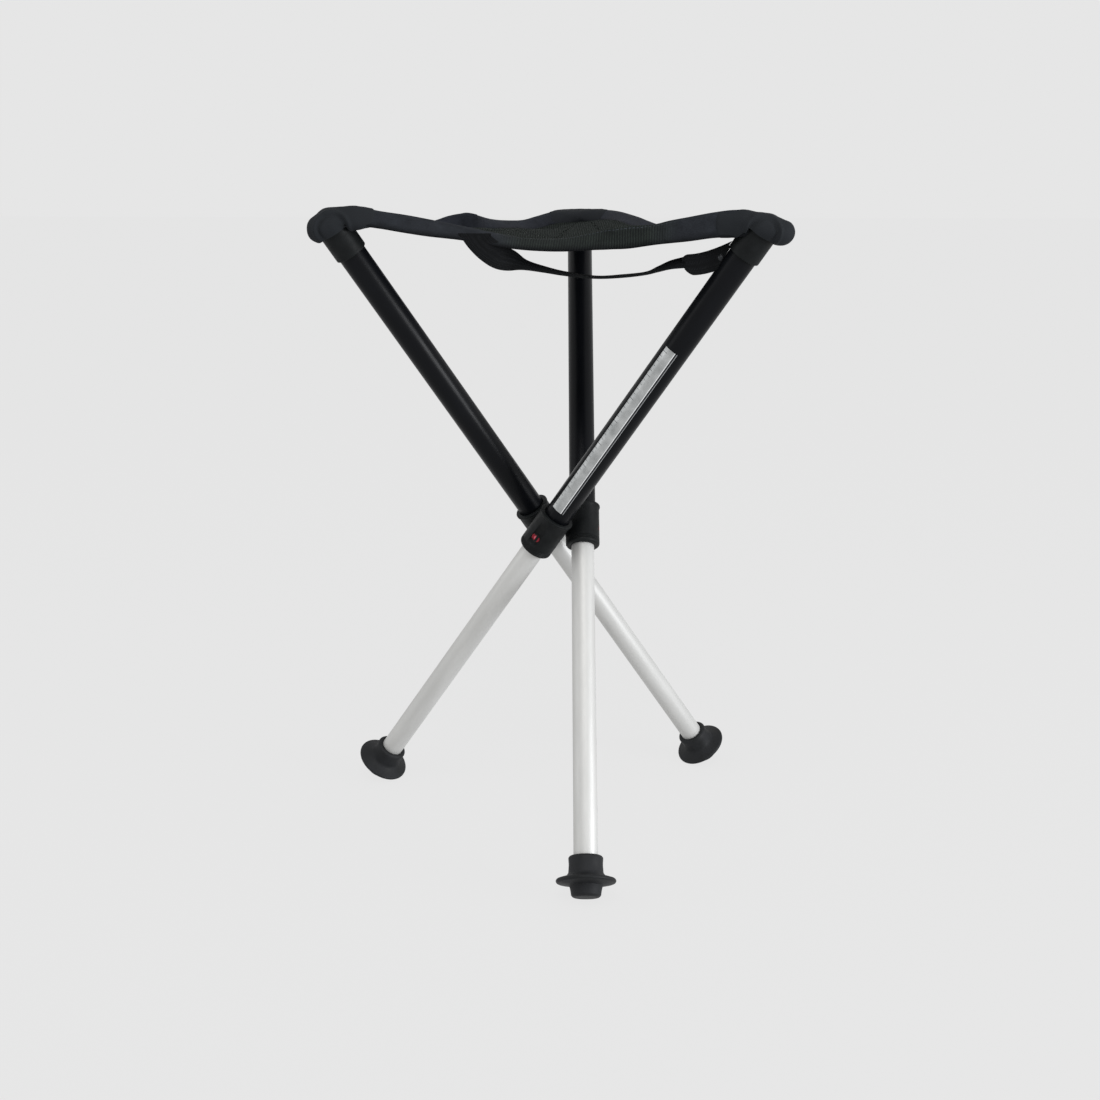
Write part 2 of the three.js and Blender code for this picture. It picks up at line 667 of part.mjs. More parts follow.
function strap(grow = 0) {
  const points = STRAP_ROUTE_SHARES.map(([along, drop, inset]) =>
    underFront(
      THREE.MathUtils.lerp(frontSpan, TAB_LOW_REACH, along), domeTop - drop * STRAP_DROP, inset * STRAP_INSET,
    ));
  const curve = new THREE.CatmullRomCurve3(points);
  const half = STRAP_WIDTH / 2 + grow;
  const deep = STRAP_THICKNESS / 2 + grow;
  const rings = [];
  for (let i = 0; i <= STRAP_STEPS; i++) {
    const at = (i / STRAP_STEPS) * (points.length - 1);
    const k = Math.min(Math.floor(at), points.length - 2);
    const turnShare = THREE.MathUtils.lerp(STRAP_ROUTE_SHARES[k][3], STRAP_ROUTE_SHARES[k + 1][3], at - k);
    const turn = (turnShare * Math.PI) / 2;
    const centre = curve.getPoint(i / STRAP_STEPS);
    const along = curve.getTangent(i / STRAP_STEPS);
    const up = along.clone().cross(inwards).normalize();
    const back = up.clone().cross(along);
    const width = up.multiplyScalar(Math.cos(turn)).addScaledVector(back, Math.sin(turn));
    const face = along.clone().cross(width);
    const corners = [[half, -deep], [half, deep], [-half, deep], [-half, -deep]];
    rings.push(corners.map(([w, f]) => centre.clone().addScaledVector(width, w).addScaledVector(face, f)));
  }
  return loft(rings);
}

// Room of the front band and of everything over it, so that the strap ends under the band's lower edge.
function overFrontBand() {
  const rings = [];
  for (let i = 0; i <= BAND_STEPS; i++) {
    const share = i / BAND_STEPS;
    const under = bandAxes(front, share).width.multiplyScalar(-BAND_WIDTH / 2 - FIT_GAP);
    const low = bandCentre(front, share).add(under);
    const corners = [[1, 0], [1, 1], [-1, 1], [-1, 0]];
    rings.push(corners.map(([back, up]) =>
      low.clone().addScaledVector(inwards, back * STRAP_WIDTH).setZ(low.z + up * STRAP_DROP)));
  }
  return loft(rings);
}

// The tab's two ends and the directions along it, across it and out of its back.
function tabFrame() {
  const lowZ = strapZ + TAB_LOW_RISE;
  const low = underFront(TAB_LOW_REACH, lowZ, STRAP_INSET);
  const high = underFront(TAB_HIGH_REACH, lowZ + TAB_RISE, STRAP_INSET);
  const along = high.clone().sub(low).normalize();
  const across = along.clone().cross(inwards).normalize();
  return { low, high, along, across, back: inwards };
}

function strapTab(grow = 0) {
  const { low, high, along, across, back } = tabFrame();
  const deep = TAB_THICKNESS / 2 + grow;
  const rings = TAB_OUTLINE_SHARES.map(([at, wide]) => {
    const half = (TAB_WIDTH / 2) * wide + grow;
    const centre = low.clone().lerp(high, at);
    if (at === 0) centre.addScaledVector(along, -grow);
    const corners = [[half, deep], [-half, deep], [-half, -deep], [half, -deep]];
    return corners.map(([w, f]) => centre.clone().addScaledVector(across, w).addScaledVector(back, -f));
  });
  return loft(rings);
}

// Rivet through the tab. Its Z runs out of the tab's front.
function strapRivet() {
  const cap = RIVET_CAP_DIAMETER / 2;
  const pin = RIVET_PIN_DIAMETER / 2;
  const seat = TAB_THICKNESS / 2 + FIT_GAP;
  const edge = RIVET_CAP / 2;
  return turnedSolid([
    [0, -seat - RIVET_CAP],
    [cap, -seat - RIVET_CAP],
    [cap, -seat],
    [pin, -seat],
    [pin, seat],
    [cap, seat],
    [cap, seat + edge],
    [cap - edge, seat + RIVET_CAP],
    [0, seat + RIVET_CAP],
  ], SMALL_STEPS);
}

// On the tab's middle line, where leg b's upper tube is a gap away from the rivet's head.
function rivetPlace() {
  const { low, along, back } = tabFrame();
  const pivot = legPoint(front.to, 0);
  const shaft = legPoint(front.to, domeCentre).sub(pivot).normalize();
  const apart = upperRadius + RIVET_TO_TUBE + RIVET_CAP_DIAMETER / 2;
  const start = low.clone().sub(pivot).projectOnPlane(shaft);
  const step = along.clone().projectOnPlane(shaft);
  const slope = start.dot(step);
  const spare = slope ** 2 - step.lengthSq() * (start.lengthSq() - apart ** 2);
  const reach = (-slope - Math.sqrt(Math.max(spare, 0))) / step.lengthSq();
  const out = back.clone().negate();
  const place = new THREE.Matrix4();
  place.makeRotationFromQuaternion(new THREE.Quaternion().setFromUnitVectors(new THREE.Vector3(0, 0, 1), out));
  return place.setPosition(low.addScaledVector(along, reach));
}

// A solid of a leg's frame, taken to the hub's frame.
function inLeg(leg, solid) {
  const tilt = THREE.MathUtils.radToDeg(LEG_TILT);
  const azimuth = THREE.MathUtils.radToDeg(LEG_AZIMUTHS[leg]);
  return solid.translate([AXIS_OFFSET, 0, 0]).rotate([-tilt, 0, 0]).rotate([0, 0, azimuth]);
}

// Cloth is cut clear of the pockets and the caps under them.
function clearOfCorners(cloth) {
  const grown = pocketForm(FIT_GAP).add(pocketRoom());
  return Object.keys(LEG_AZIMUTHS).reduce((left, leg) => left.subtract(inLeg(leg, grown)), cloth);
}

function clearOfBands(cloth) {
  return EDGES.reduce((left, edge) => left.subtract(edgeBand(edge, FIT_GAP)), cloth);
}

// Assembly
const stool = new THREE.Group();
stool.name = "stool";

function legAssembly(leg) {
  const azimuth = new THREE.Group();
  azimuth.rotation.z = LEG_AZIMUTHS[leg];
  const tilted = new THREE.Group();
  tilted.rotation.x = -LEG_TILT;
  const shaft = new THREE.Group();
  shaft.position.x = AXIS_OFFSET;
  shaft.add(
    piece(`upper_tube_${leg}`, upperTube(), "blackTube"),
    piece(`lower_tube_${leg}`, lowerTube(), "silverTube"),
    piece(`joint_collar_${leg}`, jointCollar(), "blackPlastic"),
    piece(`top_cap_${leg}`, topCap(), "blackPlastic"),
    piece(`guide_bush_${leg}`, guideBush(), "whitePlastic"),
    piece(`push_button_${leg}`, pushButton(), "redPlastic"),
    piece(`catch_spring_${leg}`, catchSpring(), "springSteel"),
    piece(`foot_${leg}`, foot(), "rubber"),
    piece(`corner_pocket_${leg}`, cornerPocket(), "bandCloth"),
  );
  if (leg === front.to) shaft.add(piece("size_plate", sizePlate(), "plate"));
  tilted.add(shaft);
  const rivet = piece(`pivot_rivet_${leg}`, pivotRivet(), "steel");
  const washer = piece(`pivot_washer_${leg}`, pivotWasher(), "whitePlastic");
  for (const turnedPiece of [rivet, washer]) turnedPiece.rotation.y = Math.PI / 2;
  azimuth.add(tilted, rivet, washer);
  return azimuth;
}

for (const leg of Object.keys(LEG_AZIMUTHS)) stool.add(legAssembly(leg));
stool.add(piece("hub", hub(), "blackPlastic"));
stool.add(piece("seat_panel", clearOfCorners(clearOfBands(seatPanel())), "meshCloth"));
for (const edge of EDGES)
  stool.add(piece(`edge_band_${edge.name}`, clearOfCorners(edgeBand(edge)), "bandCloth"));

const rivetMatrix = rivetPlace();
const rivetHole = rod(RIVET_PIN_DIAMETER / 2 + FIT_GAP, -TAB_THICKNESS, TAB_THICKNESS)
  .transform(rivetMatrix.elements);
const shaftRoom = rod(capRadius + FIT_GAP, 0, upperTop, ROUND_STEPS);
const tab = clearOfCorners(clearOfBands(strapTab())).subtract(seatPanel(FIT_GAP)).subtract(rivetHole)
  .subtract(inLeg(front.to, shaftRoom));
stool.add(piece("strap_tab", tab, "webbing"));
const strapRivetMesh = piece("strap_rivet", strapRivet(), "steel");
strapRivetMesh.applyMatrix4(rivetMatrix);
stool.add(strapRivetMesh);
const strapSolid = strap().subtract(overFrontBand()).subtract(strapTab(FIT_GAP));
stool.add(piece("strap", strapSolid, "webbing"));

// The origin goes to the floor, under the middle of the stool's box.
stool.updateMatrixWorld(true);
const box = new THREE.Box3().setFromObject(stool, true);
const middle = box.getCenter(new THREE.Vector3());
stool.position.set(-middle.x, -middle.y, -box.min.z);

const model = new THREE.Group();
model.add(stool);
export default model;
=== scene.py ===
"""A collapsible three-legged stool, dressed for rendering round its CAD frame.

Metres, +Z up. The front is -Y, and the origin is on the floor under the middle of the stool.
"""

import json
import math

import bmesh
import bpy
from mathutils import Matrix, Vector, noise
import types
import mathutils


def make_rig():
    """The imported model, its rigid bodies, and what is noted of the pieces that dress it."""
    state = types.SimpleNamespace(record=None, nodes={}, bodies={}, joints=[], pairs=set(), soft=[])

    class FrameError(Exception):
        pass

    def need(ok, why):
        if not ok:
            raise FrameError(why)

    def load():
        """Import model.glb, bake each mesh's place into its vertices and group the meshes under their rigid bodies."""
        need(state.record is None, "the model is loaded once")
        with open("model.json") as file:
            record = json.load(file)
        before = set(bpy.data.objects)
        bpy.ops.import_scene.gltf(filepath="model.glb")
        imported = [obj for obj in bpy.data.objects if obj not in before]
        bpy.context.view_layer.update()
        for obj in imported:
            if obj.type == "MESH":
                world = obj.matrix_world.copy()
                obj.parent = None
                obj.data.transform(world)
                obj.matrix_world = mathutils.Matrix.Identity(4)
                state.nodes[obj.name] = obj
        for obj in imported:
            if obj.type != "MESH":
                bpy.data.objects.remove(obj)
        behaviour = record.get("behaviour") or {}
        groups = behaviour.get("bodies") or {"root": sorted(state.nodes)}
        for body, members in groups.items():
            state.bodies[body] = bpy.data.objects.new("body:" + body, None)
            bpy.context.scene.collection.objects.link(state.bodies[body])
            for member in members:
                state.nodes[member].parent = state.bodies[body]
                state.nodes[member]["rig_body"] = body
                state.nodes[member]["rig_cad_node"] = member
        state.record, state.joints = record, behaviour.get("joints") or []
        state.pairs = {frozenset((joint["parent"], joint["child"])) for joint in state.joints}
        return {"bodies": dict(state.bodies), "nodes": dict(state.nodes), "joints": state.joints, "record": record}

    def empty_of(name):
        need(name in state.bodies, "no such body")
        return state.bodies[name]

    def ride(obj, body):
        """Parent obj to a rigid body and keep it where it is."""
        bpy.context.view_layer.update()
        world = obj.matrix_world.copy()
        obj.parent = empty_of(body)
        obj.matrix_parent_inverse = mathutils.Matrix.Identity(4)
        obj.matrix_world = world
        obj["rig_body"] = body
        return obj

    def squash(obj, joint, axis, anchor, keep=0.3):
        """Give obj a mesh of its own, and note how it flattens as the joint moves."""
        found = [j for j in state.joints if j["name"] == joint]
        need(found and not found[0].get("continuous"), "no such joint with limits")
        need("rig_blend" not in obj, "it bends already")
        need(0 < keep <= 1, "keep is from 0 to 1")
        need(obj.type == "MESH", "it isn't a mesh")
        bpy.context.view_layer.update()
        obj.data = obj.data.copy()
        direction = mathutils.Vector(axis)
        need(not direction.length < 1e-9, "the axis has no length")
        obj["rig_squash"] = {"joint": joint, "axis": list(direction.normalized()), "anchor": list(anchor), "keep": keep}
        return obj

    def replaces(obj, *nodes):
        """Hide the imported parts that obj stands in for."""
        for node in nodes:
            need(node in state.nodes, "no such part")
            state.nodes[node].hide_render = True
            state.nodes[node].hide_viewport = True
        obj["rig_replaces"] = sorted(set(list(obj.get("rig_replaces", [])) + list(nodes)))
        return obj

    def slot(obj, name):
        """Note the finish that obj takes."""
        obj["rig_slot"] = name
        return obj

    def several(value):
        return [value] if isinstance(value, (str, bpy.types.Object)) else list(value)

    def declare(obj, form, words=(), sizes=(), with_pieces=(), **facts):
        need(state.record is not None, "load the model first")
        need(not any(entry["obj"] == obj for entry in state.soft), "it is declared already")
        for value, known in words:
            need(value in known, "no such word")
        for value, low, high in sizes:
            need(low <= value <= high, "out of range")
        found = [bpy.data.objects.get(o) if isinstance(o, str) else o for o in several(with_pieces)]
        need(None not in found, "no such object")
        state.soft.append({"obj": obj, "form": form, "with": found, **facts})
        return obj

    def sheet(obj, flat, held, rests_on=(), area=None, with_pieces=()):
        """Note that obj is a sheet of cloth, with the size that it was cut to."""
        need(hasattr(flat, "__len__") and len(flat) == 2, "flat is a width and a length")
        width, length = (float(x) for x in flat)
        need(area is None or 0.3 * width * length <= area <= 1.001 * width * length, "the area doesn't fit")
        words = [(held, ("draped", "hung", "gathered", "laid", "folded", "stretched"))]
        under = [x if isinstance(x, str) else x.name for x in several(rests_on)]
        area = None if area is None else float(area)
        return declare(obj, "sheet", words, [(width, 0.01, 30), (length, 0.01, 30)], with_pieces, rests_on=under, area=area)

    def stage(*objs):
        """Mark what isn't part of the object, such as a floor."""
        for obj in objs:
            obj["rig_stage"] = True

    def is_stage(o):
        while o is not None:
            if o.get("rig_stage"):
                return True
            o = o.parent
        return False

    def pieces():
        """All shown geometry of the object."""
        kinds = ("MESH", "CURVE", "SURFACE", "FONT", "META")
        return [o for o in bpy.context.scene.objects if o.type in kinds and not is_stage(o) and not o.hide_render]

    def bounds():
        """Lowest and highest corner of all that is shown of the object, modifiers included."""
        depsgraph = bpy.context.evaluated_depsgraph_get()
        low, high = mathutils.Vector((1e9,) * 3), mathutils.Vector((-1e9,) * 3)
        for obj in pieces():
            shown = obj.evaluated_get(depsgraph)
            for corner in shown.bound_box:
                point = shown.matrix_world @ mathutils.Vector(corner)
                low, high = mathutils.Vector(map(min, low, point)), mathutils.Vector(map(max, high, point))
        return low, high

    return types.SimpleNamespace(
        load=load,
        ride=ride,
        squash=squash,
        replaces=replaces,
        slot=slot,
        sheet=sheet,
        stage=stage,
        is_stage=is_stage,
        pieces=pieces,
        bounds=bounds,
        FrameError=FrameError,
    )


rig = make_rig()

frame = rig.load()
cad_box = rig.bounds()

# Stance: the hub's centre over the floor, and the legs round it
HUB = Vector((0.0116, -0.0057392, 0.2688817))
LEG_TILT = math.radians(36.2)
LEG_AZIMUTHS = {"a": math.radians(120), "b": math.radians(240), "c": 0.0}
AXIS_OFFSET = 0.0232
FIT_GAP = 0.0003

# Tubes
UPPER_RADIUS = 0.0118
UPPER_WALL = 0.0013
UPPER_SHOWN = 0.2833
UPPER_SEAT = 0.008
LOWER_RADIUS = 0.01015
LOWER_WALL = 0.0012
LOWER_SHOWN = 0.276
LOWER_OVERLAP = 0.082
TUBE_EDGE = 0.0003

# Joint collar
COLLAR_RADIUS = 0.0152
COLLAR_ABOVE = 0.0229
COLLAR_BELOW = 0.0165
COLLAR_LIP = 0.0007
COLLAR_LIP_HEIGHT = 0.0024
COLLAR_ROUNDING = 0.0024
COLLAR_GROOVE = 0.00045
COLLAR_GROOVE_RISES = (0.0034, 0.0048, 0.0062)
COLLAR_PAD_RADIUS = 0.0065
COLLAR_PAD = 0.0004

# Hub, rivets, washers, bush
HUB_ARM_RADIUS = 0.0052
HUB_CHAMFER = 0.0008
HUB_ARM_SHARE = 0.98
RIVET_RADIUS = 0.002
RIVET_HEAD_RADIUS = 0.0036
RIVET_HEAD = 0.0008
RIVET_BLIND = 0.0026
WASHER_RADIUS = 0.0055
WASHER_THICKNESS = 0.0008
BUSH_PLUG = 0.012
BUSH_RIM = 0.002
BUSH_WALL = 0.002
RUNNING_GAP = 0.0002

# Push button
BUTTON_RADIUS = 0.004
BUTTON_HEAD = 0.0014
BUTTON_DISH = 0.0005
BUTTON_PROUD = -0.0002
BUTTON_STEM_RADIUS = 0.0025
BUTTON_TRAVEL = 0.0015
PRESS_GAP = 0.0001
BUTTON_CENTRE_RADIUS = 0.0018

# Top cap
CAP_RADIUS = 0.0137
CAP_SLEEVE = 0.0248
CAP_TUBE_DEPTH = 0.014
CAP_RIM_ROUNDING = 0.0007
CAP_BAND_DROP = 0.0012
CAP_SHOULDER = 0.003
CAP_DOME = 0.0125

# Foot
FOOT_SOCKET = 0.022
FOOT_HEIGHT = 0.0339
FOOT_MOUTH_WALL = 0.0016
FOOT_MOUTH_ROUNDING = 0.0004
FOOT_SHOULDER_RADIUS = 0.0028
FOOT_NECK_RADIUS = 0.0145
FOOT_NECK_DRAFT = 0.0004
FOOT_NECK_DROP = 0.0075
FOOT_FLANGE_RADIUS = 0.0249
FOOT_FLANGE_RIM = 0.0038
FOOT_FLANGE_DROP = 0.0206
FOOT_FLANGE_ROOT = 0.0154
FOOT_FLANGE_FILLET = 0.0007
FOOT_ROOT_RISE = 0.0012
FOOT_BOSS_DROP = 0.0244
FOOT_BOSS_TOP_RADIUS = 0.014
FOOT_BOSS_RADIUS = 0.0125
FOOT_BOSS_ROUNDING = 0.003
FOOT_BOSS_WAIST = 0.0022
FOOT_BOSS_FLARE = 0.0003
FOOT_BOSS_STEP = 0.0006
FOOT_BOSS_SPREAD = 0.0016

# Seat cloth, edge bands, corner pockets
CLOTH = 0.0014
SEAT_ATTACH_DROP = 0.0104
SEAT_BELLY = 0.004
EDGE_BOW = 0.013
EDGE_PASS = 0.009
CLOTH_END = 0.025
BAND_WIDTH = 0.0165
BAND_THICKNESS = 0.0034
BAND_END = 0.026
BAND_SPREAD = 0.06
BAND_RIPPLE = 0.0006
BAND_RIPPLES = 9
BAND_SECTION = (0.62, 0.75)
HEM_SHARES = {"ab": 0.5, "bc": 0.2, "ca": 0.2}
POCKET_WALL = 0.002
POCKET_CROWNS = {"a": 0.0163, "b": 0.0124, "c": 0.0126}
POCKET_MOUTHS = {"a": 0.0015, "b": 0.0015, "c": 0.0105}
POCKET_FOLDS = {"a": (0.0142, 0.0014), "b": (0.0132, 0.0014), "c": (0.013, 0)}
POCKET_CHEEKS = (0.031, 0.048)
POCKET_CHEEK_REACH = 0.004
POCKET_CHEEK_SPARE = 0.001
POCKET_ROOM = 0.0015
POCKET_GRAIN = 0.0009
POCKET_CROWN_SHARE = 1.05
POCKET_OVER_SHARE = 0.95
POCKET_RISE_SHARE = 0.35
POCKET_CUT_LENGTH = 0.02
POCKET_FOLD_WIDTH = 0.0014
POCKET_CREASE_INSET = 0.0032
POCKET_CREASE_WIDTH = 0.0017
POCKET_TOES = {
    "a": ((0, 0.0122, -0.0006), (0.012, 0.0094, 0.0108)),
    "b": ((0, 0.0162, -0.002), (0.012, 0.0094, 0.0094)),
    "c": ((0, 0.0115, -0.001), (0.012, 0.0094, 0.0098)),
}

# Soft wrinkles, each so many times finer than the first and so deep, and how the fold's line wanders
POCKET_WRINKLE = 1 / 60
POCKET_WRINKLES = ((1, 0.0011), (2.7, 0.0003))
POCKET_WANDER = (0.4, 0.0015)

# Heights over the hub of each band's lower and upper line, at shares of its way
BAND_LINES = {
    "ab": (
        (0, 0.2655, 0.281), (0.05, 0.2676, 0.283), (0.1, 0.2686, 0.2832), (0.15, 0.2667, 0.28),
        (0.2, 0.2636, 0.2772), (0.255, 0.2606, 0.2733), (0.33, 0.2576, 0.268), (0.4, 0.2531, 0.2628),
        (0.45, 0.2507, 0.2597), (0.5, 0.2499, 0.2586), (0.55, 0.2501, 0.2593), (0.6, 0.2509, 0.2636),
        (0.64, 0.2512, 0.2673), (0.68, 0.2519, 0.2695), (0.733, 0.2549, 0.2706), (0.762, 0.2561, 0.2734),
        (0.807, 0.2579, 0.2766), (0.859, 0.2606, 0.2802), (0.903, 0.2613, 0.282), (0.95, 0.2625, 0.2806),
        (1, 0.263, 0.277),
    ),
    "bc": (
        (0, 0.265, 0.2806), (0.15, 0.262, 0.274), (0.3, 0.259, 0.269), (0.45, 0.258, 0.267),
        (0.534, 0.2588, 0.2675), (0.604, 0.2622, 0.2703), (0.668, 0.2655, 0.2737), (0.753, 0.268, 0.2766),
        (0.842, 0.2674, 0.279), (0.927, 0.266, 0.2793), (1, 0.266, 0.2793),
    ),
    "ca": (
        (0, 0.266, 0.2793), (0.044, 0.2658, 0.2793), (0.086, 0.2648, 0.2785), (0.13, 0.263, 0.2761),
        (0.194, 0.2598, 0.273), (0.25, 0.2588, 0.2702), (0.326, 0.2606, 0.2703), (0.4, 0.2604, 0.2719),
        (0.47, 0.2594, 0.2752), (0.526, 0.2603, 0.2777), (0.57, 0.2602, 0.2748), (0.6, 0.26, 0.2713),
        (0.64, 0.26, 0.2692), (0.72, 0.2629, 0.2698), (0.8, 0.2657, 0.2738), (0.9, 0.269, 0.2792),
        (1, 0.2695, 0.2803),
    ),
}

# Strap, tab and the tab's rivet
STRAP_WIDTH = 0.02
STRAP_THICKNESS = 0.0016
STRAP_DROP = 0.05
STRAP_INSET = 0.006
STRAP_SECTION = (0.5, 0.5)
STRAP_STEP = 0.004
STRAP_SEAM_SHARE = 1.35
STRAP_SEAM_END_SHARE = 0.13
TAB_WIDTH = 0.017
TAB_THICKNESS = 0.0024
TAB_RISE = 0.016
TAB_LOW_RISE = 0.0095
TAB_LOW_REACH = 0.0606
TAB_HIGH_REACH = 0.0077
TAB_BEND = 0.0044
TAB_SECTION = (0.4, 0.4)
TAB_END_SHARE = 0.12
TAB_TIP_SHARE = 0.55
TAB_CUT_START = 0.1
TAB_CUT_REACH = 0.04
RIVET_CAP_RADIUS = 0.0025
RIVET_CAP = 0.001
RIVET_CAP_BALL = 0.0034
RIVET_PIN_RADIUS = 0.0012
RIVET_TO_TUBE = 0.0015
RIVET_BEND_SHARE = 0.9

# The strap's way: shares of its reach, its drop and its inset, and its turn
STRAP_ROUTE_SHARES = (
    (0.4127, 0.35, -0.85, 0), (0.427, 0.48, -0.85, 0), (0.4486, 0.6, -0.55, 0.02),
    (0.4756, 0.706, 0.1, 0.1), (0.513, 0.776, 0.7, 0.45), (0.549, 0.843, 0.9, 0.78),
    (0.607, 0.916, 1, 0.9), (0.668, 0.98, 1, 0.95), (0.754, 1.03, 1, 0.985),
    (0.829, 1.008, 1, 0.97), (0.894, 0.964, 1, 0.97), (0.93, 0.896, 0.98, 0.9),
    (0.966, 0.826, 0.95, 0.82), (1.005, 0.786, 0.9, 0.75),
)

# Size strip on leg b's upper tube
STRIP_START = 0.033
STRIP_LENGTH = 0.179
STRIP_THICKNESS = 0.0004
STRIP_SPAN = math.radians(58)
STRIP_TURN = math.radians(5)

# Its short and long ticks: half their pitch, half width and fading, and reach as shares of the strip
STRIP_TICKS = ((0.0025, 0.00012, 0.00026, 0.62, 0.58), (0.0125, 0.00016, 0.0003, 0.34, 0.3))

# Camera
CAMERA_PLACE = Vector((0.0011, -1.24414, 0.56008))
CAMERA_YAW = math.radians(0.2)
CAMERA_PITCH = math.radians(14.07)
CAMERA_ROLL = math.radians(0.11)
CAMERA_LENS = 46.08
CAMERA_SENSOR = 36

TURN_STEPS = 72
BACKDROP = 0.791
FLOOR_SHADE = 0.03
FLOOR_LIT = 0.0085

# Where the front band shows the mesh's ribs, and their colours
RIB_MIDDLE = 0.219
RIB_REACH = 0.062
RIB_FADE = 0.012
RIB_PITCH = 0.0021
STITCH_INSET = 0.0026
RIBBED_SHADES = ((0.0095, 0.0122, 0.011), (0.02, 0.0252, 0.0225))

# Worked out from the sizes above
UPPER_BORE = UPPER_RADIUS - UPPER_WALL
LOWER_BORE = LOWER_RADIUS - LOWER_WALL
CAP_RIM = COLLAR_ABOVE + UPPER_SHOWN
UPPER_TOP = CAP_RIM + CAP_TUBE_DEPTH
DOME_CENTRE = CAP_RIM + CAP_SLEEVE
LOWER_TOP = LOWER_OVERLAP - UPPER_SEAT
FOOT_TOP = -(COLLAR_BELOW + LOWER_SHOWN)
PAD_FACE = AXIS_OFFSET - COLLAR_RADIUS - COLLAR_PAD
ARM_END = PAD_FACE - WASHER_THICKNESS - 2 * FIT_GAP
BUTTON_BASE = COLLAR_RADIUS + BUTTON_PROUD - BUTTON_HEAD
DOME_TOP = DOME_CENTRE * math.cos(LEG_TILT) + CAP_RADIUS
CLOTH_HEIGHT = DOME_TOP - SEAT_ATTACH_DROP


# Finishes

# Numbers of the Mix node's colour sockets
MIX_COLOURS = (6, 7)
MIX_RESULT = 2


class Finish:
    """A material, with short ways to add nodes to it."""

    def __init__(self, name, colour, roughness, metallic=0.0, specular=0.5):
        self.material = bpy.data.materials.new(name)
        self.material.use_nodes = True
        self.tree = self.material.node_tree
        self.shader = self.tree.nodes["Principled BSDF"]
        self.feed(self.shader, {"Base Color": (*colour, 1), "Roughness": roughness})
        self.feed(self.shader, {"Metallic": metallic, "Specular IOR Level": specular})

    def feed(self, node, values):
        """Numbers, colours or other nodes' outputs go into a node's inputs."""
        for name, value in values.items():
            if isinstance(value, bpy.types.NodeSocket):
                self.tree.links.new(value, node.inputs[name])
            else:
                node.inputs[name].default_value = value
        return node

    def node(self, kind, inputs, output=0, **settings):
        made = self.tree.nodes.new(kind)
        for name, value in settings.items():
            setattr(made, name, value)
        return self.feed(made, inputs).outputs[output]

    def coordinates(self, source="UV", scale=(1, 1, 1)):
        """Object coordinates or the piece's own UVs, both in metres."""
        where = self.node("ShaderNodeTexCoord", {}, source)
        return self.node("ShaderNodeMapping", {"Vector": where, "Scale": scale})

    def along(self, axis):
        """The piece's own UV along X or Y."""
        return self.node("ShaderNodeSeparateXYZ", {0: self.coordinates()}, axis)

    def speckle(self, size, source="Object", stretch=(1, 1, 1), detail=4.0):
        """Noise whose spots are about size across, stretched by the shares given."""
        at = self.coordinates(source, tuple(1 / (size * share) for share in stretch))
        inputs = {"Vector": at, "Scale": 1.0, "Detail": detail, "Roughness": 0.55}
        return self.node("ShaderNodeTexNoise", inputs)

    def sums(self, operation, first, second=0.5, third=0.5):
        return self.node("ShaderNodeMath", {0: first, 1: second, 2: third}, operation=operation)

    def distance(self, value, place):
        return self.sums("ABSOLUTE", self.sums("SUBTRACT", value, place))

    def threads(self, pitch, axis="X"):
        """A wave of threads a pitch apart: 0 between them and 1 on their crests."""
        turn = self.sums("MULTIPLY", self.along(axis), math.tau / pitch)
        return self.sums("MULTIPLY_ADD", self.sums("SINE", turn), 0.5, 0.5)

    def spread(self, value, low, high, from_low=0.3, from_high=0.7):
        """A value's usual range taken to another range."""
        ends = {"From Min": from_low, "From Max": from_high, "To Min": low, "To Max": high}
        return self.node("ShaderNodeMapRange", {"Value": value, **ends})

    def blend(self, share, *shades):
        """One colour or the other by a share."""
        inputs = {0: share}
        for place, shade in zip(MIX_COLOURS, shades):
            inputs[place] = (*shade, 1) if isinstance(shade, tuple) else shade
        return self.node("ShaderNodeMix", inputs, MIX_RESULT, data_type="RGBA")

    def mottled(self, cloud, dark, pale):
        """Two shades by a cloud's usual range."""
        return self.blend(self.spread(cloud, 0, 1), dark, pale)

    def finished(self, shade, gloss, *bumps):
        """The material with its shade, its roughness as (cloud, low, high), or None, and its bumps.

        The bumps lie over one another, each a height and a depth in metres.
        """
        self.feed(self.shader, {"Base Color": shade})
        if gloss:
            self.feed(self.shader, {"Roughness": self.spread(*gloss)})
        under = {}
        for height, depth in bumps:
            inputs = {"Height": height, "Distance": depth, "Strength": 1.0, **under}
            under = {"Normal": self.node("ShaderNodeBump", inputs)}
        self.feed(self.shader, under)
        return self.material


def dimmed(colour, share):
    return tuple(share * part for part in colour)


def satin_black():
    """Black lacquer on the upper tubes, with a faint peel and the tube's drawing lines."""
    made = Finish("satin_black", (0.003, 0.0034, 0.0044), 0.35, specular=0.1)
    cloud = made.speckle(0.03, "UV", (0.6, 3, 1))
    shade = made.mottled(cloud, (0.0022, 0.0025, 0.0033), (0.0038, 0.0043, 0.0056))
    drawn = made.speckle(0.0009, "UV", (1, 60, 1), 2)
    gloss = (made.speckle(0.006, "UV", (1, 4, 1)), 0.3, 0.38)
    return made.finished(shade, gloss, (made.speckle(0.0011, "UV"), 0.00002), (drawn, 0.00001))


def satin_silver():
    """Brushed and clear-coated aluminium of the lower tubes."""
    made = Finish("satin_silver", (0.5, 0.5, 0.49), 0.55, metallic=0.35, specular=0.12)
    brushed = made.speckle(0.0006, "UV", (1, 90, 1), 3)
    cloud = made.speckle(0.02, "UV", (0.8, 4, 1))
    shade = made.mottled(cloud, (0.475, 0.475, 0.465), (0.535, 0.535, 0.525))
    return made.finished(shade, (brushed, 0.48, 0.58), (brushed, 0.000012))


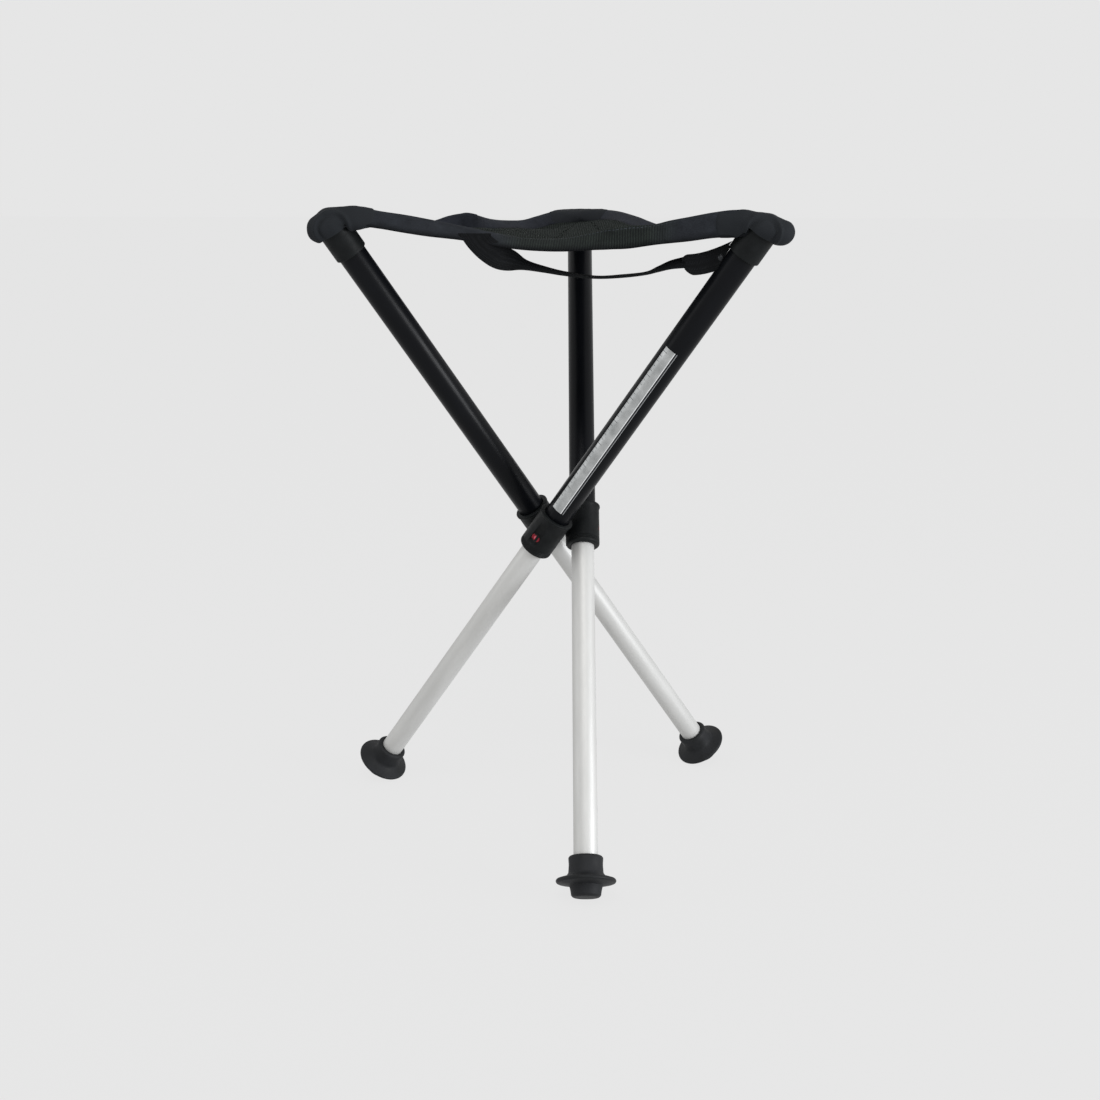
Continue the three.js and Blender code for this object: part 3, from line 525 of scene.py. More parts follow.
def moulded_black():
    """Grained nylon, a little greener than the lacquer."""
    dark, pale = (0.0042, 0.005, 0.0053), (0.0078, 0.0089, 0.0094)
    made = Finish("moulded_black", dark, 0.5, specular=0.1)
    shade = made.mottled(made.speckle(0.009), dark, pale)
    grain = made.speckle(0.0006, detail=2)
    return made.finished(shade, (made.speckle(0.004), 0.42, 0.58), (grain, 0.00003))


def foot_rubber():
    """Matt rubber with a dusty bloom and faint flow lines round it."""
    made = Finish("foot_rubber", (0.0075, 0.0083, 0.0092), 0.6, specular=0.2)
    bloom = made.speckle(0.012)
    shade = made.mottled(bloom, (0.0056, 0.0064, 0.007), (0.0125, 0.0135, 0.0155))
    flow = made.speckle(0.0012, "UV", (12, 1, 1), 3)
    grain = made.speckle(0.0005, detail=2)
    return made.finished(shade, (bloom, 0.52, 0.68), (flow, 0.00004), (grain, 0.00003))


def button_red():
    """Red plastic with a painted highlight on its dished centre."""
    made = Finish("button_red", (0.12, 0.005, 0.012), 0.38, specular=0.2)
    away = made.node("ShaderNodeVectorMath", {0: made.coordinates()}, "Value", operation="LENGTH")
    # Painted highlight: the centre is a pale pink, the ring round it a deeper red
    ring = made.spread(away, 0, 1, BUTTON_CENTRE_RADIUS * 0.75, BUTTON_CENTRE_RADIUS * 1.1)
    shade = made.blend(ring, (0.5, 0.1, 0.13), (0.17, 0.006, 0.015))
    return made.finished(shade, (made.speckle(0.001), 0.28, 0.38), (made.speckle(0.0005), 0.00002))


def nylon(name, colour, dark):
    """Plain moulded plastic of the inner pieces."""
    made = Finish(name, colour, 0.45)
    shade = made.mottled(made.speckle(0.006), dark, colour)
    return made.finished(shade, None, (made.speckle(0.0007), 0.00002))


def steel(name, colour):
    made = Finish(name, colour, 0.3, metallic=0.95)
    shade = made.mottled(made.speckle(0.003), dimmed(colour, 0.75), colour)
    return made.finished(shade, (made.speckle(0.0012), 0.24, 0.4), (made.speckle(0.0006), 0.00001))


def seat_mesh():
    """Ribbed mesh cloth: raised ribs with small open stitches between them, painted near black as shade."""
    made = Finish("seat_mesh", (0.012, 0.014, 0.014), 0.95, specular=0.05)
    ribs = made.threads(RIB_PITCH)
    holes = made.sums("MULTIPLY", made.sums("SUBTRACT", 1.0, ribs), made.threads(0.0017, "Y"))
    shade = made.mottled(made.speckle(0.008), (0.0125, 0.0155, 0.0145), (0.022, 0.027, 0.0245))
    # Painted shade: the open stitches between the ribs are coloured near black
    shade = made.blend(made.spread(holes, 0, 1, 0.2, 0.8), shade, (0.002, 0.0024, 0.0025))
    return made.finished(shade, None, (ribs, 0.0006), (holes, -0.0003), (made.speckle(0.0004), 0.00006))


def band_cloth(name, dark, pale, ribbed=False):
    """Smooth doubled binding cloth, with painted shade along its lower fold.

    The front band shows the mesh's ribs and a row of stitches in its middle.
    """
    made = Finish(name, dark, 0.8, specular=0.09)
    weave = made.sums("MULTIPLY", made.threads(0.0006), made.threads(0.0006, "Y"))
    cloud = made.speckle(0.012, "UV", (1, 0.6, 1))
    shade = made.mottled(cloud, dark, pale)
    layers = [
        (weave, 0.00008),
        (made.speckle(0.004, "UV"), 0.0003),
        (made.speckle(0.011, "UV", (1.5, 0.6, 1)), 0.0011),
    ]
    # Painted shade: the colour darkens to a third towards the band's lower edge, under its fold
    clear_of_painted_shade = made.spread(made.along("Y"), 0, 1, -BAND_WIDTH / 2, -BAND_WIDTH * 0.1)
    if ribbed:
        away = made.distance(made.along("X"), RIB_MIDDLE)
        inside = made.spread(away, 1, 0, RIB_REACH - RIB_FADE, RIB_REACH + RIB_FADE)
        ribs = made.sums("MULTIPLY", made.threads(RIB_PITCH), inside)
        off_row = made.distance(made.along("Y"), BAND_WIDTH / 2 - STITCH_INSET)
        dashes = made.spread(made.threads(0.0032), 0, 1, 0.3, 0.5)
        stitch = made.sums("MULTIPLY", made.spread(off_row, 1, 0, 0.0002, 0.0005), dashes)
        stitch = made.sums("MULTIPLY", stitch, inside)
        shade = made.blend(inside, shade, made.mottled(cloud, *RIBBED_SHADES))
        shade = made.blend(made.spread(ribs, 0, 0.6), shade, dimmed(dark, 0.4))
        shade = made.blend(stitch, shade, dimmed(pale, 2.2))
        layers = [(ribs, 0.0004), *layers, (stitch, 0.0002)]
    return made.finished(made.blend(clear_of_painted_shade, dimmed(dark, 0.3), shade), (cloud, 0.72, 0.86), *layers)


def webbing():
    """Woven polyester tape with fine slanting ribs, and painted shade in the hollows between its threads."""
    made = Finish("webbing", (0.006, 0.0066, 0.0075), 0.75, specular=0.1)
    weave = made.sums("MULTIPLY", made.threads(0.0013), made.threads(0.0019, "Y"))
    shade = made.mottled(made.speckle(0.01), (0.0052, 0.0058, 0.0068), (0.0105, 0.0116, 0.0132))
    # Painted shade: darker between the threads, full colour only where they cross
    shade = made.blend(weave, (0.0026, 0.003, 0.0035), shade)
    return made.finished(shade, None, (weave, 0.0003), (made.speckle(0.0004), 0.00005))


def size_strip():
    """Satin silver film with plain ticks along one side and a painted highlight along its edge, under a clear edge that
    shows the black tube and has a painted highlight near its rim.
    """
    made = Finish("size_strip", (0.45, 0.46, 0.46), 0.34, metallic=0.35, specular=0.5)
    side, along = made.along("X"), made.along("Y")
    half = (UPPER_RADIUS + FIT_GAP) * STRIP_SPAN / 2
    silver_edge = half * 0.66
    silver = made.mottled(made.speckle(0.011, "UV"), (0.25, 0.26, 0.26), (0.43, 0.44, 0.44))
    marks = []
    for pitch, core, fade, far, near in STRIP_TICKS:
        lines = made.spread(made.sums("PINGPONG", along, pitch), 1, 0, core, fade)
        marks.append(made.sums("MULTIPLY", lines, made.spread(side, 1, 0, -half * far, -half * near)))
    face = made.blend(made.sums("MAXIMUM", *marks), silver, (0.05, 0.052, 0.055))
    beyond = made.spread(side, 0, 1, silver_edge - 0.00008, silver_edge + 0.00008)
    # Painted highlight: a thin near-white line just inside the silver's edge, where the film's edge catches the light
    bright = made.spread(made.distance(side, silver_edge - 0.0003), 1, 0, 0.00016, 0.0003)
    # Painted highlight: a pale line near the clear edge's rim, over the black tube's colour
    rim = made.spread(made.distance(side, half * 0.93), 1, 0, 0.00012, 0.0003)
    edge = made.blend(rim, (0.01, 0.011, 0.013), (0.32, 0.33, 0.34))
    face = made.blend(bright, face, (0.86, 0.87, 0.88))
    grain = made.speckle(0.0005, "UV", (1, 20, 1))
    return made.finished(made.blend(beyond, face, edge), None, (grain, 0.00001))


def studio_floor():
    """Pale floor that is as bright as the backdrop, with only a breath of shadow."""
    made = Finish("studio_floor", (FLOOR_SHADE,) * 3, 1, specular=0)
    glow = BACKDROP * (1 - FLOOR_SHADE) - FLOOR_LIT
    made.feed(made.shader, {"Emission Color": (1, 1, 1, 1), "Emission Strength": glow})
    return made.material


SATIN_BLACK = satin_black()
SATIN_SILVER = satin_silver()
MOULDED_BLACK = moulded_black()
FOOT_RUBBER = foot_rubber()
BUTTON_RED = button_red()
PALE_NYLON = nylon("pale_nylon", (0.66, 0.65, 0.6), (0.56, 0.55, 0.5))
HUB_NYLON = nylon("hub_nylon", (0.018, 0.019, 0.02), (0.01, 0.011, 0.012))
TURNED_STEEL = steel("turned_steel", (0.46, 0.46, 0.47))
SPRING_STEEL = steel("spring_steel", (0.2, 0.21, 0.22))
TAB_STEEL = steel("tab_steel", (0.035, 0.037, 0.04))
SEAT_MESH = seat_mesh()
FRONT_BAND = band_cloth("front_band", (0.0098, 0.0112, 0.014), (0.0185, 0.021, 0.0255), ribbed=True)
REAR_BAND = band_cloth("rear_band", (0.0098, 0.0112, 0.015), (0.0185, 0.021, 0.0275))
POCKET_CLOTH = band_cloth("pocket_cloth", (0.0085, 0.0098, 0.0115), (0.0165, 0.0186, 0.0215))
WEBBING = webbing()
SIZE_STRIP = size_strip()


# Ways of making a piece


def leg_place(leg):
    """From a leg's own frame, Z up the leg and +X away from the hub, to the stool's."""
    turn = Matrix.Rotation(LEG_AZIMUTHS[leg], 4, "Z") @ Matrix.Rotation(-LEG_TILT, 4, "X")
    return Matrix.Translation(HUB) @ turn @ Matrix.Translation((AXIS_OFFSET, 0, 0))


def arc(centre_r, centre_z, radius, start, end, steps=6):
    """A round corner as (radius, height) pairs. The angles are in degrees."""
    angles = [math.radians(start + (end - start) * step / steps) for step in range(steps + 1)]
    return [(centre_r + radius * math.cos(a), centre_z + radius * math.sin(a)) for a in angles]


def low_edge(radius, height, rounding, steps=6):
    """The rounded outer edge of a turned piece's lower end."""
    return arc(radius - rounding, height + rounding, rounding, -90, 0, steps)


def high_edge(radius, height, rounding, steps=6):
    return arc(radius - rounding, height - rounding, rounding, 0, 90, steps)


def turned(profile, steps=TURN_STEPS):
    """A profile of (radius, height) pairs, turned about Z, with UVs in metres round and up it.

    A profile that doesn't start on the axis is a ring and closes on itself.
    """
    bm = bmesh.new()
    verts = [bm.verts.new((r, 0, z)) for r, z in profile]
    pairs = list(zip(verts, verts[1:]))
    if profile[0][0] > 0:
        pairs.append((verts[-1], verts[0]))
    edges = [bm.edges.new(pair) for pair in pairs]
    bmesh.ops.spin(
        bm, geom=verts + edges, cent=(0, 0, 0), axis=(0, 0, 1), dvec=(0, 0, 0),
        angle=math.tau, steps=steps, use_merge=True,
    )
    bmesh.ops.remove_doubles(bm, verts=bm.verts, dist=1e-6)
    lay_round(faced_out(bm), max(r for r, z in profile))
    return bm


def faced_out(bm):
    bmesh.ops.recalc_face_normals(bm, faces=bm.faces)
    return bm


def lay_round(bm, radius):
    layer = bm.loops.layers.uv.verify()
    for face in bm.faces:
        middle = face.calc_center_median()
        facing = math.atan2(middle.y, middle.x)
        for loop in face.loops:
            turn = math.atan2(loop.vert.co.y, loop.vert.co.x) - facing
            turn = (turn + math.pi) % math.tau - math.pi
            loop[layer].uv = ((facing + turn) * radius, loop.vert.co.z)


def laid(u_steps, v_steps, place, uv):
    """A grid of shares (u, v), each taken to place(u, v), with uv(u, v) in metres."""
    bm = bmesh.new()
    bmesh.ops.create_grid(bm, x_segments=u_steps, y_segments=v_steps, size=1)
    layer = bm.loops.layers.uv.verify()
    shares = {vert: ((vert.co.x + 1) / 2, (vert.co.y + 1) / 2) for vert in bm.verts}
    for face in bm.faces:
        for loop in face.loops:
            loop[layer].uv = uv(*shares[loop.vert])
    for vert, (u, v) in shares.items():
        vert.co = place(u, v)
    bmesh.ops.remove_doubles(bm, verts=bm.verts, dist=1e-6)
    return bm


def closed_up(bm):
    """Open ends filled and faces turned outwards."""
    bmesh.ops.holes_fill(bm, edges=[edge for edge in bm.edges if edge.is_boundary], sides=0)
    return faced_out(bm)


def piece(name, bm, material, place=None, sharp=35):
    """An object at the origin, with its place in its mesh."""
    if place is not None:
        bmesh.ops.transform(bm, matrix=place, verts=bm.verts)
    mesh = bpy.data.meshes.new(name)
    bm.to_mesh(mesh)
    bm.free()
    mesh.materials.append(material)
    mesh.shade_smooth()
    mesh.set_sharp_from_angle(angle=math.radians(sharp))
    obj = bpy.data.objects.new(name, mesh)
    bpy.context.scene.collection.objects.link(obj)
    return obj


def stand_in(obj, body, slot, *nodes):
    """The piece moves with a body and stands for CAD nodes."""
    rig.ride(obj, body)
    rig.slot(obj, slot)
    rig.replaces(obj, *nodes)


def settled(obj):
    """The piece's modifiers worked into its mesh."""
    bpy.context.view_layer.update()
    shaped = obj.evaluated_get(bpy.context.evaluated_depsgraph_get())
    mesh = bpy.data.meshes.new_from_object(shaped)
    old = obj.data
    obj.modifiers.clear()
    obj.data = mesh
    bpy.data.meshes.remove(old)
    mesh.name = obj.name


def carved(obj, cutter, operation="DIFFERENCE", place=None):
    """The piece with another mesh, put in its place, taken from it or added to it."""
    tool = piece("tool", cutter, obj.data.materials[0], place)
    cut = obj.modifiers.new("carve", "BOOLEAN")
    cut.operation = operation
    cut.solver = "EXACT"
    cut.object = tool
    settled(obj)
    bpy.data.objects.remove(tool)
    obj.data.set_sharp_from_angle(angle=math.radians(35))


def across(bm):
    """A piece turned about Z, laid along +X."""
    bmesh.ops.rotate(bm, verts=bm.verts, cent=(0, 0, 0), matrix=Matrix.Rotation(math.pi / 2, 3, "Y"))
    return bm


def rod(radius, low, high, steps=48):
    return turned([(0, low), (radius, low), (radius, high), (0, high)], steps)


def drilled(obj, radius, low, high, steps=48):
    """A hole across the leg, a little wider than the pin that goes through it."""
    carved(obj, across(rod(radius + FIT_GAP, low, high, steps)))


def swept_rod(radius, low, high, aside):
    """A rod, and all the room that it takes as it is moved aside."""
    bm = rod(radius, low, high)
    made = bmesh.ops.duplicate(bm, geom=bm.verts[:] + bm.edges[:] + bm.faces[:])
    moved = [item for item in made["geom"] if isinstance(item, bmesh.types.BMVert)]
    bmesh.ops.translate(bm, verts=moved, vec=aside)
    wrapped(bm)
    bmesh.ops.dissolve_limit(bm, angle_limit=math.radians(1), verts=bm.verts, edges=bm.edges)
    return faced_out(bm)


def wrapped(bm):
    """Only the skin that wraps round everything in it."""
    made = bmesh.ops.convex_hull(bm, input=bm.verts[:], use_existing_faces=False)
    outside = set(made["geom"])
    bmesh.ops.delete(bm, geom=[vert for vert in bm.verts if vert not in outside], context="VERTS")
    bmesh.ops.delete(bm, geom=[face for face in bm.faces if face not in outside], context="FACES_ONLY")
    return faced_out(bm)


def soft_bar(steps, powers, form, length_at, width):
    """A closed flat bar with soft edges, whose UVs are its length at u and its width.

    form(u, v) gives its middle and, as vectors, its half width and half thickness.
    """
    def place(u, v):
        sides = (math.cos(math.tau * v), math.sin(math.tau * v))
        flat, out = (math.copysign(abs(side) ** power, side) for side, power in zip(sides, powers))
        middle, wide, thick = form(u, v)
        return middle + wide * flat + thick * out

    return closed_up(laid(*steps, place, lambda u, v: (length_at(u), math.cos(math.tau * v) * width / 2)))


def read_rows(rows, at):
    """The values of the smooth curve through rows of (share, value, ...), at a share."""
    k = next((k for k in range(1, len(rows) - 1) if at <= rows[k][0]), len(rows) - 1)
    first, second = rows[k - 1], rows[k]
    before, after = rows[max(k - 2, 0)], rows[min(k + 1, len(rows) - 1)]
    gap = second[0] - first[0]
    t = (at - first[0]) / gap
    values = []
    for j in range(1, len(first)):
        leaving = (second[j] - before[j]) / (second[0] - before[0]) * gap
        arriving = (after[j] - first[j]) / (after[0] - first[0]) * gap
        values.append(
            (2 * t**3 - 3 * t**2 + 1) * first[j] + (t**3 - 2 * t**2 + t) * leaving
            + (3 * t**2 - 2 * t**3) * second[j] + (t**3 - t**2) * arriving
        )
    return values


# Legs


# Each tube's body, look, material, radius, bore, ends, and where its catch hole starts
TUBES = {
    "upper": (
        "leg", "black_tube", SATIN_BLACK, UPPER_RADIUS, UPPER_BORE, -UPPER_SEAT, UPPER_TOP, LOWER_RADIUS,
    ),
    "lower": (
        "lower", "silver_tube", SATIN_SILVER, LOWER_RADIUS, LOWER_BORE, FOOT_TOP - FOOT_SOCKET, LOWER_TOP,
        LOWER_BORE / 2,
    ),
}


def tube(leg, end):
    body, look, material, radius, bore, low, high, hole_start = TUBES[end]
    edges = [*low_edge(radius, low, TUBE_EDGE, 3), *high_edge(radius, high, TUBE_EDGE, 3)]
    obj = piece(f"{look}_{leg}", turned([*edges, (bore, high), (bore, low)]), material)
    drilled(obj, BUTTON_STEM_RADIUS, hole_start, 2 * radius)
    obj.data.transform(leg_place(leg))
    stand_in(obj, f"{body}_{leg}", look, f"{end}_tube_{leg}")


def joint_collar(leg):
    mouth = LOWER_RADIUS + FIT_GAP
    bore = UPPER_RADIUS + FIT_GAP
    lip = COLLAR_RADIUS + COLLAR_LIP
    low, high = -COLLAR_BELOW, COLLAR_ABOVE
    seat = -UPPER_SEAT - FIT_GAP
    grooves = [
        (COLLAR_RADIUS - deep, low + rise + aside)
        for rise in COLLAR_GROOVE_RISES
        for deep, aside in ((0, -COLLAR_GROOVE), (COLLAR_GROOVE, 0), (0, COLLAR_GROOVE))
    ]
    bm = turned([
        (mouth + COLLAR_LIP / 2, low),
        *arc(COLLAR_RADIUS - COLLAR_ROUNDING, low + COLLAR_ROUNDING, COLLAR_ROUNDING, -90, -12),
        *grooves,
        (COLLAR_RADIUS, high - COLLAR_LIP_HEIGHT - COLLAR_LIP),
        *arc(lip - COLLAR_LIP, high - COLLAR_LIP_HEIGHT + COLLAR_LIP, COLLAR_LIP, -60, 0, 3),
        *high_edge(lip, high, COLLAR_LIP, 4),
        (bore + COLLAR_LIP / 2, high), (bore, high - COLLAR_LIP / 2), (bore, seat),
        (mouth, seat), (mouth, low + COLLAR_LIP / 2),
    ])
    obj = piece(f"collar_{leg}", bm, MOULDED_BLACK)
    pad = across(rod(COLLAR_PAD_RADIUS, PAD_FACE - AXIS_OFFSET, -(bore + COLLAR_RADIUS) / 2, TURN_STEPS))
    carved(obj, pad, "UNION")
    drilled(obj, RIVET_RADIUS, -2 * COLLAR_RADIUS, -UPPER_RADIUS)
    drilled(obj, RIVET_HEAD_RADIUS, -bore - RIVET_HEAD - FIT_GAP, -UPPER_RADIUS)
    well = BUTTON_BASE - BUTTON_TRAVEL - PRESS_GAP
    drilled(obj, BUTTON_RADIUS, well, 2 * COLLAR_RADIUS, TURN_STEPS)
    drilled(obj, BUTTON_STEM_RADIUS, UPPER_RADIUS, COLLAR_RADIUS)
    obj.data.transform(leg_place(leg))
    stand_in(obj, f"leg_{leg}", "black_plastic", f"joint_collar_{leg}")


def push_button(leg):
    face, end = COLLAR_RADIUS + BUTTON_PROUD, UPPER_BORE + BUTTON_TRAVEL
    bm = turned([
        (0, end), (BUTTON_STEM_RADIUS, end), (BUTTON_STEM_RADIUS, BUTTON_BASE),
        (BUTTON_RADIUS, BUTTON_BASE),
        *high_edge(BUTTON_RADIUS, face, BUTTON_DISH, 5),
        (BUTTON_CENTRE_RADIUS * 1.2, face),
        (BUTTON_CENTRE_RADIUS, face - BUTTON_DISH / 3),
        (BUTTON_CENTRE_RADIUS * 0.9, face - BUTTON_DISH / 2),
        (0, face - BUTTON_DISH / 2),
    ])
    layer = bm.loops.layers.uv.verify()
    for side in bm.faces:
        for loop in side.loops:
            loop[layer].uv = loop.vert.co.xy
    obj = piece(f"button_{leg}", across(bm), BUTTON_RED, leg_place(leg))
    stand_in(obj, f"button_{leg}", "red_plastic", f"push_button_{leg}")


def guide_bush(leg):
    plug = LOWER_BORE - FIT_GAP
    rim = UPPER_BORE - RUNNING_GAP
    bore = plug - BUSH_WALL
    low, seat = LOWER_TOP - BUSH_PLUG, LOWER_TOP + FIT_GAP
    top = seat + BUSH_RIM
    edge = high_edge(rim, top, TUBE_EDGE, 3)
    bm = turned([(bore, low), (plug, low), (plug, seat), (rim, seat), *edge, (bore, top)])
    obj = piece(f"bush_{leg}", bm, PALE_NYLON, leg_place(leg))
    stand_in(obj, f"lower_{leg}", "pale_plastic", f"guide_bush_{leg}")


def dome_profile(radius, height):
    """The cap's crown, a little flatter than a ball."""
    base = DOME_CENTRE - CAP_SHOULDER
    return [(r, base + z * height / radius) for r, z in arc(0, 0, radius, 0, 90, 12)]


def top_cap(leg):
    """A sleeve with a domed end and a shallow step under its rim."""
    bore = UPPER_RADIUS + FIT_GAP
    bm = turned([
        (0, UPPER_TOP + FIT_GAP), (bore, UPPER_TOP + FIT_GAP),
        (bore, CAP_RIM + CAP_RIM_ROUNDING / 2),
        (bore + CAP_RIM_ROUNDING / 2, CAP_RIM),
        *low_edge(CAP_RADIUS, CAP_RIM, CAP_RIM_ROUNDING, 4),
        (CAP_RADIUS, CAP_RIM + CAP_BAND_DROP),
        *dome_profile(CAP_RADIUS, CAP_DOME),
    ])
    obj = piece(f"cap_{leg}", bm, MOULDED_BLACK, leg_place(leg))
    stand_in(obj, f"leg_{leg}", "black_plastic", f"top_cap_{leg}")


def rubber_foot(leg):
    """Neck, wide flange and a boss that stands on its lowest edge, pressed flat by the floor."""
    def down(drop):
        return FOOT_TOP - drop

    neck, root, rim = FOOT_NECK_RADIUS, FOOT_FLANGE_ROOT, FOOT_FLANGE_RIM / 2
    boss, top, end = FOOT_BOSS_RADIUS, FOOT_BOSS_TOP_RADIUS, down(FOOT_HEIGHT)
    socket, mouth, shoulder = LOWER_RADIUS + FIT_GAP, FOOT_MOUTH_ROUNDING, FOOT_SHOULDER_RADIUS
    bm = turned([
        (0, end),
        *low_edge(boss, end, FOOT_BOSS_ROUNDING),
        (boss + FOOT_BOSS_FLARE, end + FOOT_BOSS_ROUNDING + FOOT_BOSS_WAIST),
        (top - FOOT_BOSS_STEP, down(FOOT_BOSS_DROP + FOOT_BOSS_SPREAD)),
        (top, down(FOOT_BOSS_DROP)),
        (top + FOOT_BOSS_SPREAD, down(FOOT_BOSS_DROP - FOOT_FLANGE_FILLET)),
        *arc(FOOT_FLANGE_RADIUS - rim, down(FOOT_FLANGE_DROP), rim, -72, 66, 9),
        (neck + rim, down(root + FOOT_ROOT_RISE)),
        (neck + rim / 2, down(root)),
        (neck + rim / 8, down(root - rim / 2)),
        (neck, down(root - rim)),
        (neck - FOOT_NECK_DRAFT, down(FOOT_NECK_DROP)),
        *arc(neck - shoulder, down(shoulder), shoulder, 12, 84, 6),
        (socket + FOOT_MOUTH_WALL, FOOT_TOP),
        *arc(socket + mouth, FOOT_TOP - mouth, mouth, 90, 180, 3),
        (socket, down(FOOT_SOCKET + FIT_GAP)), (0, down(FOOT_SOCKET + FIT_GAP)),
    ])
    bmesh.ops.transform(bm, matrix=leg_place(leg), verts=bm.verts)
    everything = bm.verts[:] + bm.edges[:] + bm.faces[:]
    bmesh.ops.bisect_plane(
        bm, geom=everything, plane_co=(0, 0, 0), plane_no=(0, 0, -1), clear_outer=True
    )
    obj = piece(f"rubber_foot_{leg}", closed_up(bm), FOOT_RUBBER)
    stand_in(obj, f"lower_{leg}", "rubber", f"foot_{leg}")


def strip_on_tube(leg):
    """The size strip: a film bent round the tube, bare but for plain ticks."""
    radius = UPPER_RADIUS + FIT_GAP

    def place(u, v):
        angle = STRIP_TURN + (u - 0.5) * STRIP_SPAN
        return Vector((radius * math.cos(angle), radius * math.sin(angle), STRIP_START + v * STRIP_LENGTH))

    bm = faced_out(laid(24, 60, place, lambda u, v: ((u - 0.5) * STRIP_SPAN * radius, v * STRIP_LENGTH)))
    bmesh.ops.solidify(bm, geom=bm.faces[:], thickness=-STRIP_THICKNESS)
    obj = piece("tick_strip", faced_out(bm), SIZE_STRIP, leg_place(leg))
    stand_in(obj, f"leg_{leg}", "plate", "size_plate")


# Hub


def hub_place(leg):
    """From a pivot's frame, whose Z runs out along the pivot, to the stool's."""
    turn = Matrix.Rotation(LEG_AZIMUTHS[leg], 4, "Z") @ Matrix.Rotation(math.pi / 2, 4, "Y")
    return Matrix.Translation(HUB) @ turn


def hub():
    radius = HUB_ARM_RADIUS
    slim = radius * HUB_ARM_SHARE
    edges = [*low_edge(radius, -radius, HUB_CHAMFER, 4), *high_edge(radius, radius, HUB_CHAMFER, 4)]
    core = turned([(0, -radius), *edges, (0, radius)])
    obj = piece("hub_core", core, HUB_NYLON, Matrix.Translation(HUB))
    for leg in LEG_AZIMUTHS:
        arm = turned([(0, 0), (slim, 0), *high_edge(slim, ARM_END, HUB_CHAMFER, 4), (0, ARM_END)])
        carved(obj, arm, "UNION", hub_place(leg))
    for leg in LEG_AZIMUTHS:
        hole = rod(RIVET_RADIUS + FIT_GAP, RIVET_BLIND - FIT_GAP, 2 * ARM_END)
        carved(obj, hole, place=hub_place(leg))
    stand_in(obj, "hub", "black_plastic", "hub")


def pivot(leg):
    head = AXIS_OFFSET - UPPER_RADIUS - FIT_GAP - RIVET_HEAD
    bm = turned([
        (0, RIVET_BLIND), (RIVET_RADIUS, RIVET_BLIND), (RIVET_RADIUS, head), (RIVET_HEAD_RADIUS, head),
        *high_edge(RIVET_HEAD_RADIUS, head + RIVET_HEAD, TUBE_EDGE, 3),
        (0, head + RIVET_HEAD),
    ], steps=48)
    pin = piece(f"pivot_pin_{leg}", bm, TURNED_STEEL, hub_place(leg))
    stand_in(pin, "hub", "rivet_steel", f"pivot_rivet_{leg}")
    low = ARM_END + FIT_GAP
    high = low + WASHER_THICKNESS
    inner = RIVET_RADIUS + FIT_GAP
    edge = WASHER_THICKNESS / 4
    edges = [*low_edge(WASHER_RADIUS, low, edge, 3), *high_edge(WASHER_RADIUS, high, edge, 3)]
    bm = turned([(inner, low), *edges, (inner, high)], steps=48)
    washer = piece(f"washer_{leg}", bm, PALE_NYLON, hub_place(leg))
    stand_in(washer, "hub", "pale_plastic", f"pivot_washer_{leg}")


# Seat

EDGES = ("ab", "bc", "ca")


def leg_point(leg, along):
    return leg_place(leg) @ Vector((0, 0, along))


def seat_corner(leg):
    """Where two edges of the cloth would meet, outside the leg's top, level with the hub."""
    top = leg_point(leg, DOME_CENTRE) - HUB
    top.z = 0
    return top.normalized() * (top.length + EDGE_PASS / math.sin(math.pi / 6))


CORNERS = {leg: seat_corner(leg) for leg in LEG_AZIMUTHS}
OUTWARDS = {edge: (CORNERS[edge[0]] + CORNERS[edge[1]]).normalized() for edge in EDGES}


def hem_drop(edge, share):
    """How far the cloth's edge hangs below its corners, where it meets the band."""
    low, high = read_rows(BAND_LINES[edge], share)
    clear = min(share, 1 - share, BAND_SPREAD) / BAND_SPREAD
    return (CLOTH_HEIGHT - low - (high - low) * HEM_SHARES[edge]) * clear


def cloth_point(shares):
    """A point of the cloth from its shares of the three corners."""
    point = HUB + Vector((0, 0, CLOTH_HEIGHT))
    for leg, share in shares.items():
        point += CORNERS[leg] * share
    for edge in EDGES:
        first, second = shares[edge[0]], shares[edge[1]]
        both = first + second
        if both < 1e-6:
            continue
        share = second / both
        point -= OUTWARDS[edge] * EDGE_BOW * math.sin(math.pi * share) ** 2 * both**2
        point.z -= hem_drop(edge, share) * both**3
    point.z -= SEAT_BELLY * math.prod(len(shares) * share for share in shares.values())
    return point


def mixed(first, second, share):
    return {leg: first[leg] + (second[leg] - first[leg]) * share for leg in first}


def all_of(leg):
    """The shares of a corner itself."""
    return {name: float(name == leg) for name in LEG_AZIMUTHS}


def edge_point(edge, share):
    return cloth_point(mixed(all_of(edge[0]), all_of(edge[1]), share))


def far_side(leg, share):
    """Round the third of the seat that belongs to a leg: mid-edge, the seat's middle, mid-edge."""
    ends = [mixed(all_of(leg), all_of(other), 0.5) for other in LEG_AZIMUTHS if other != leg]
    middle = dict.fromkeys(LEG_AZIMUTHS, 1 / 3)
    if share < 0.5:
        return mixed(ends[0], middle, 2 * share)
    return mixed(middle, ends[1], 2 * share - 1)


GORES = 4
HANG = 0.4
GATHER_INSET = 0.033


def gathered(direction):
    """Loose cloth goes towards its corner as the legs fold, and hangs down on the way."""
    return (direction + Vector((0, 0, -HANG))).normalized()


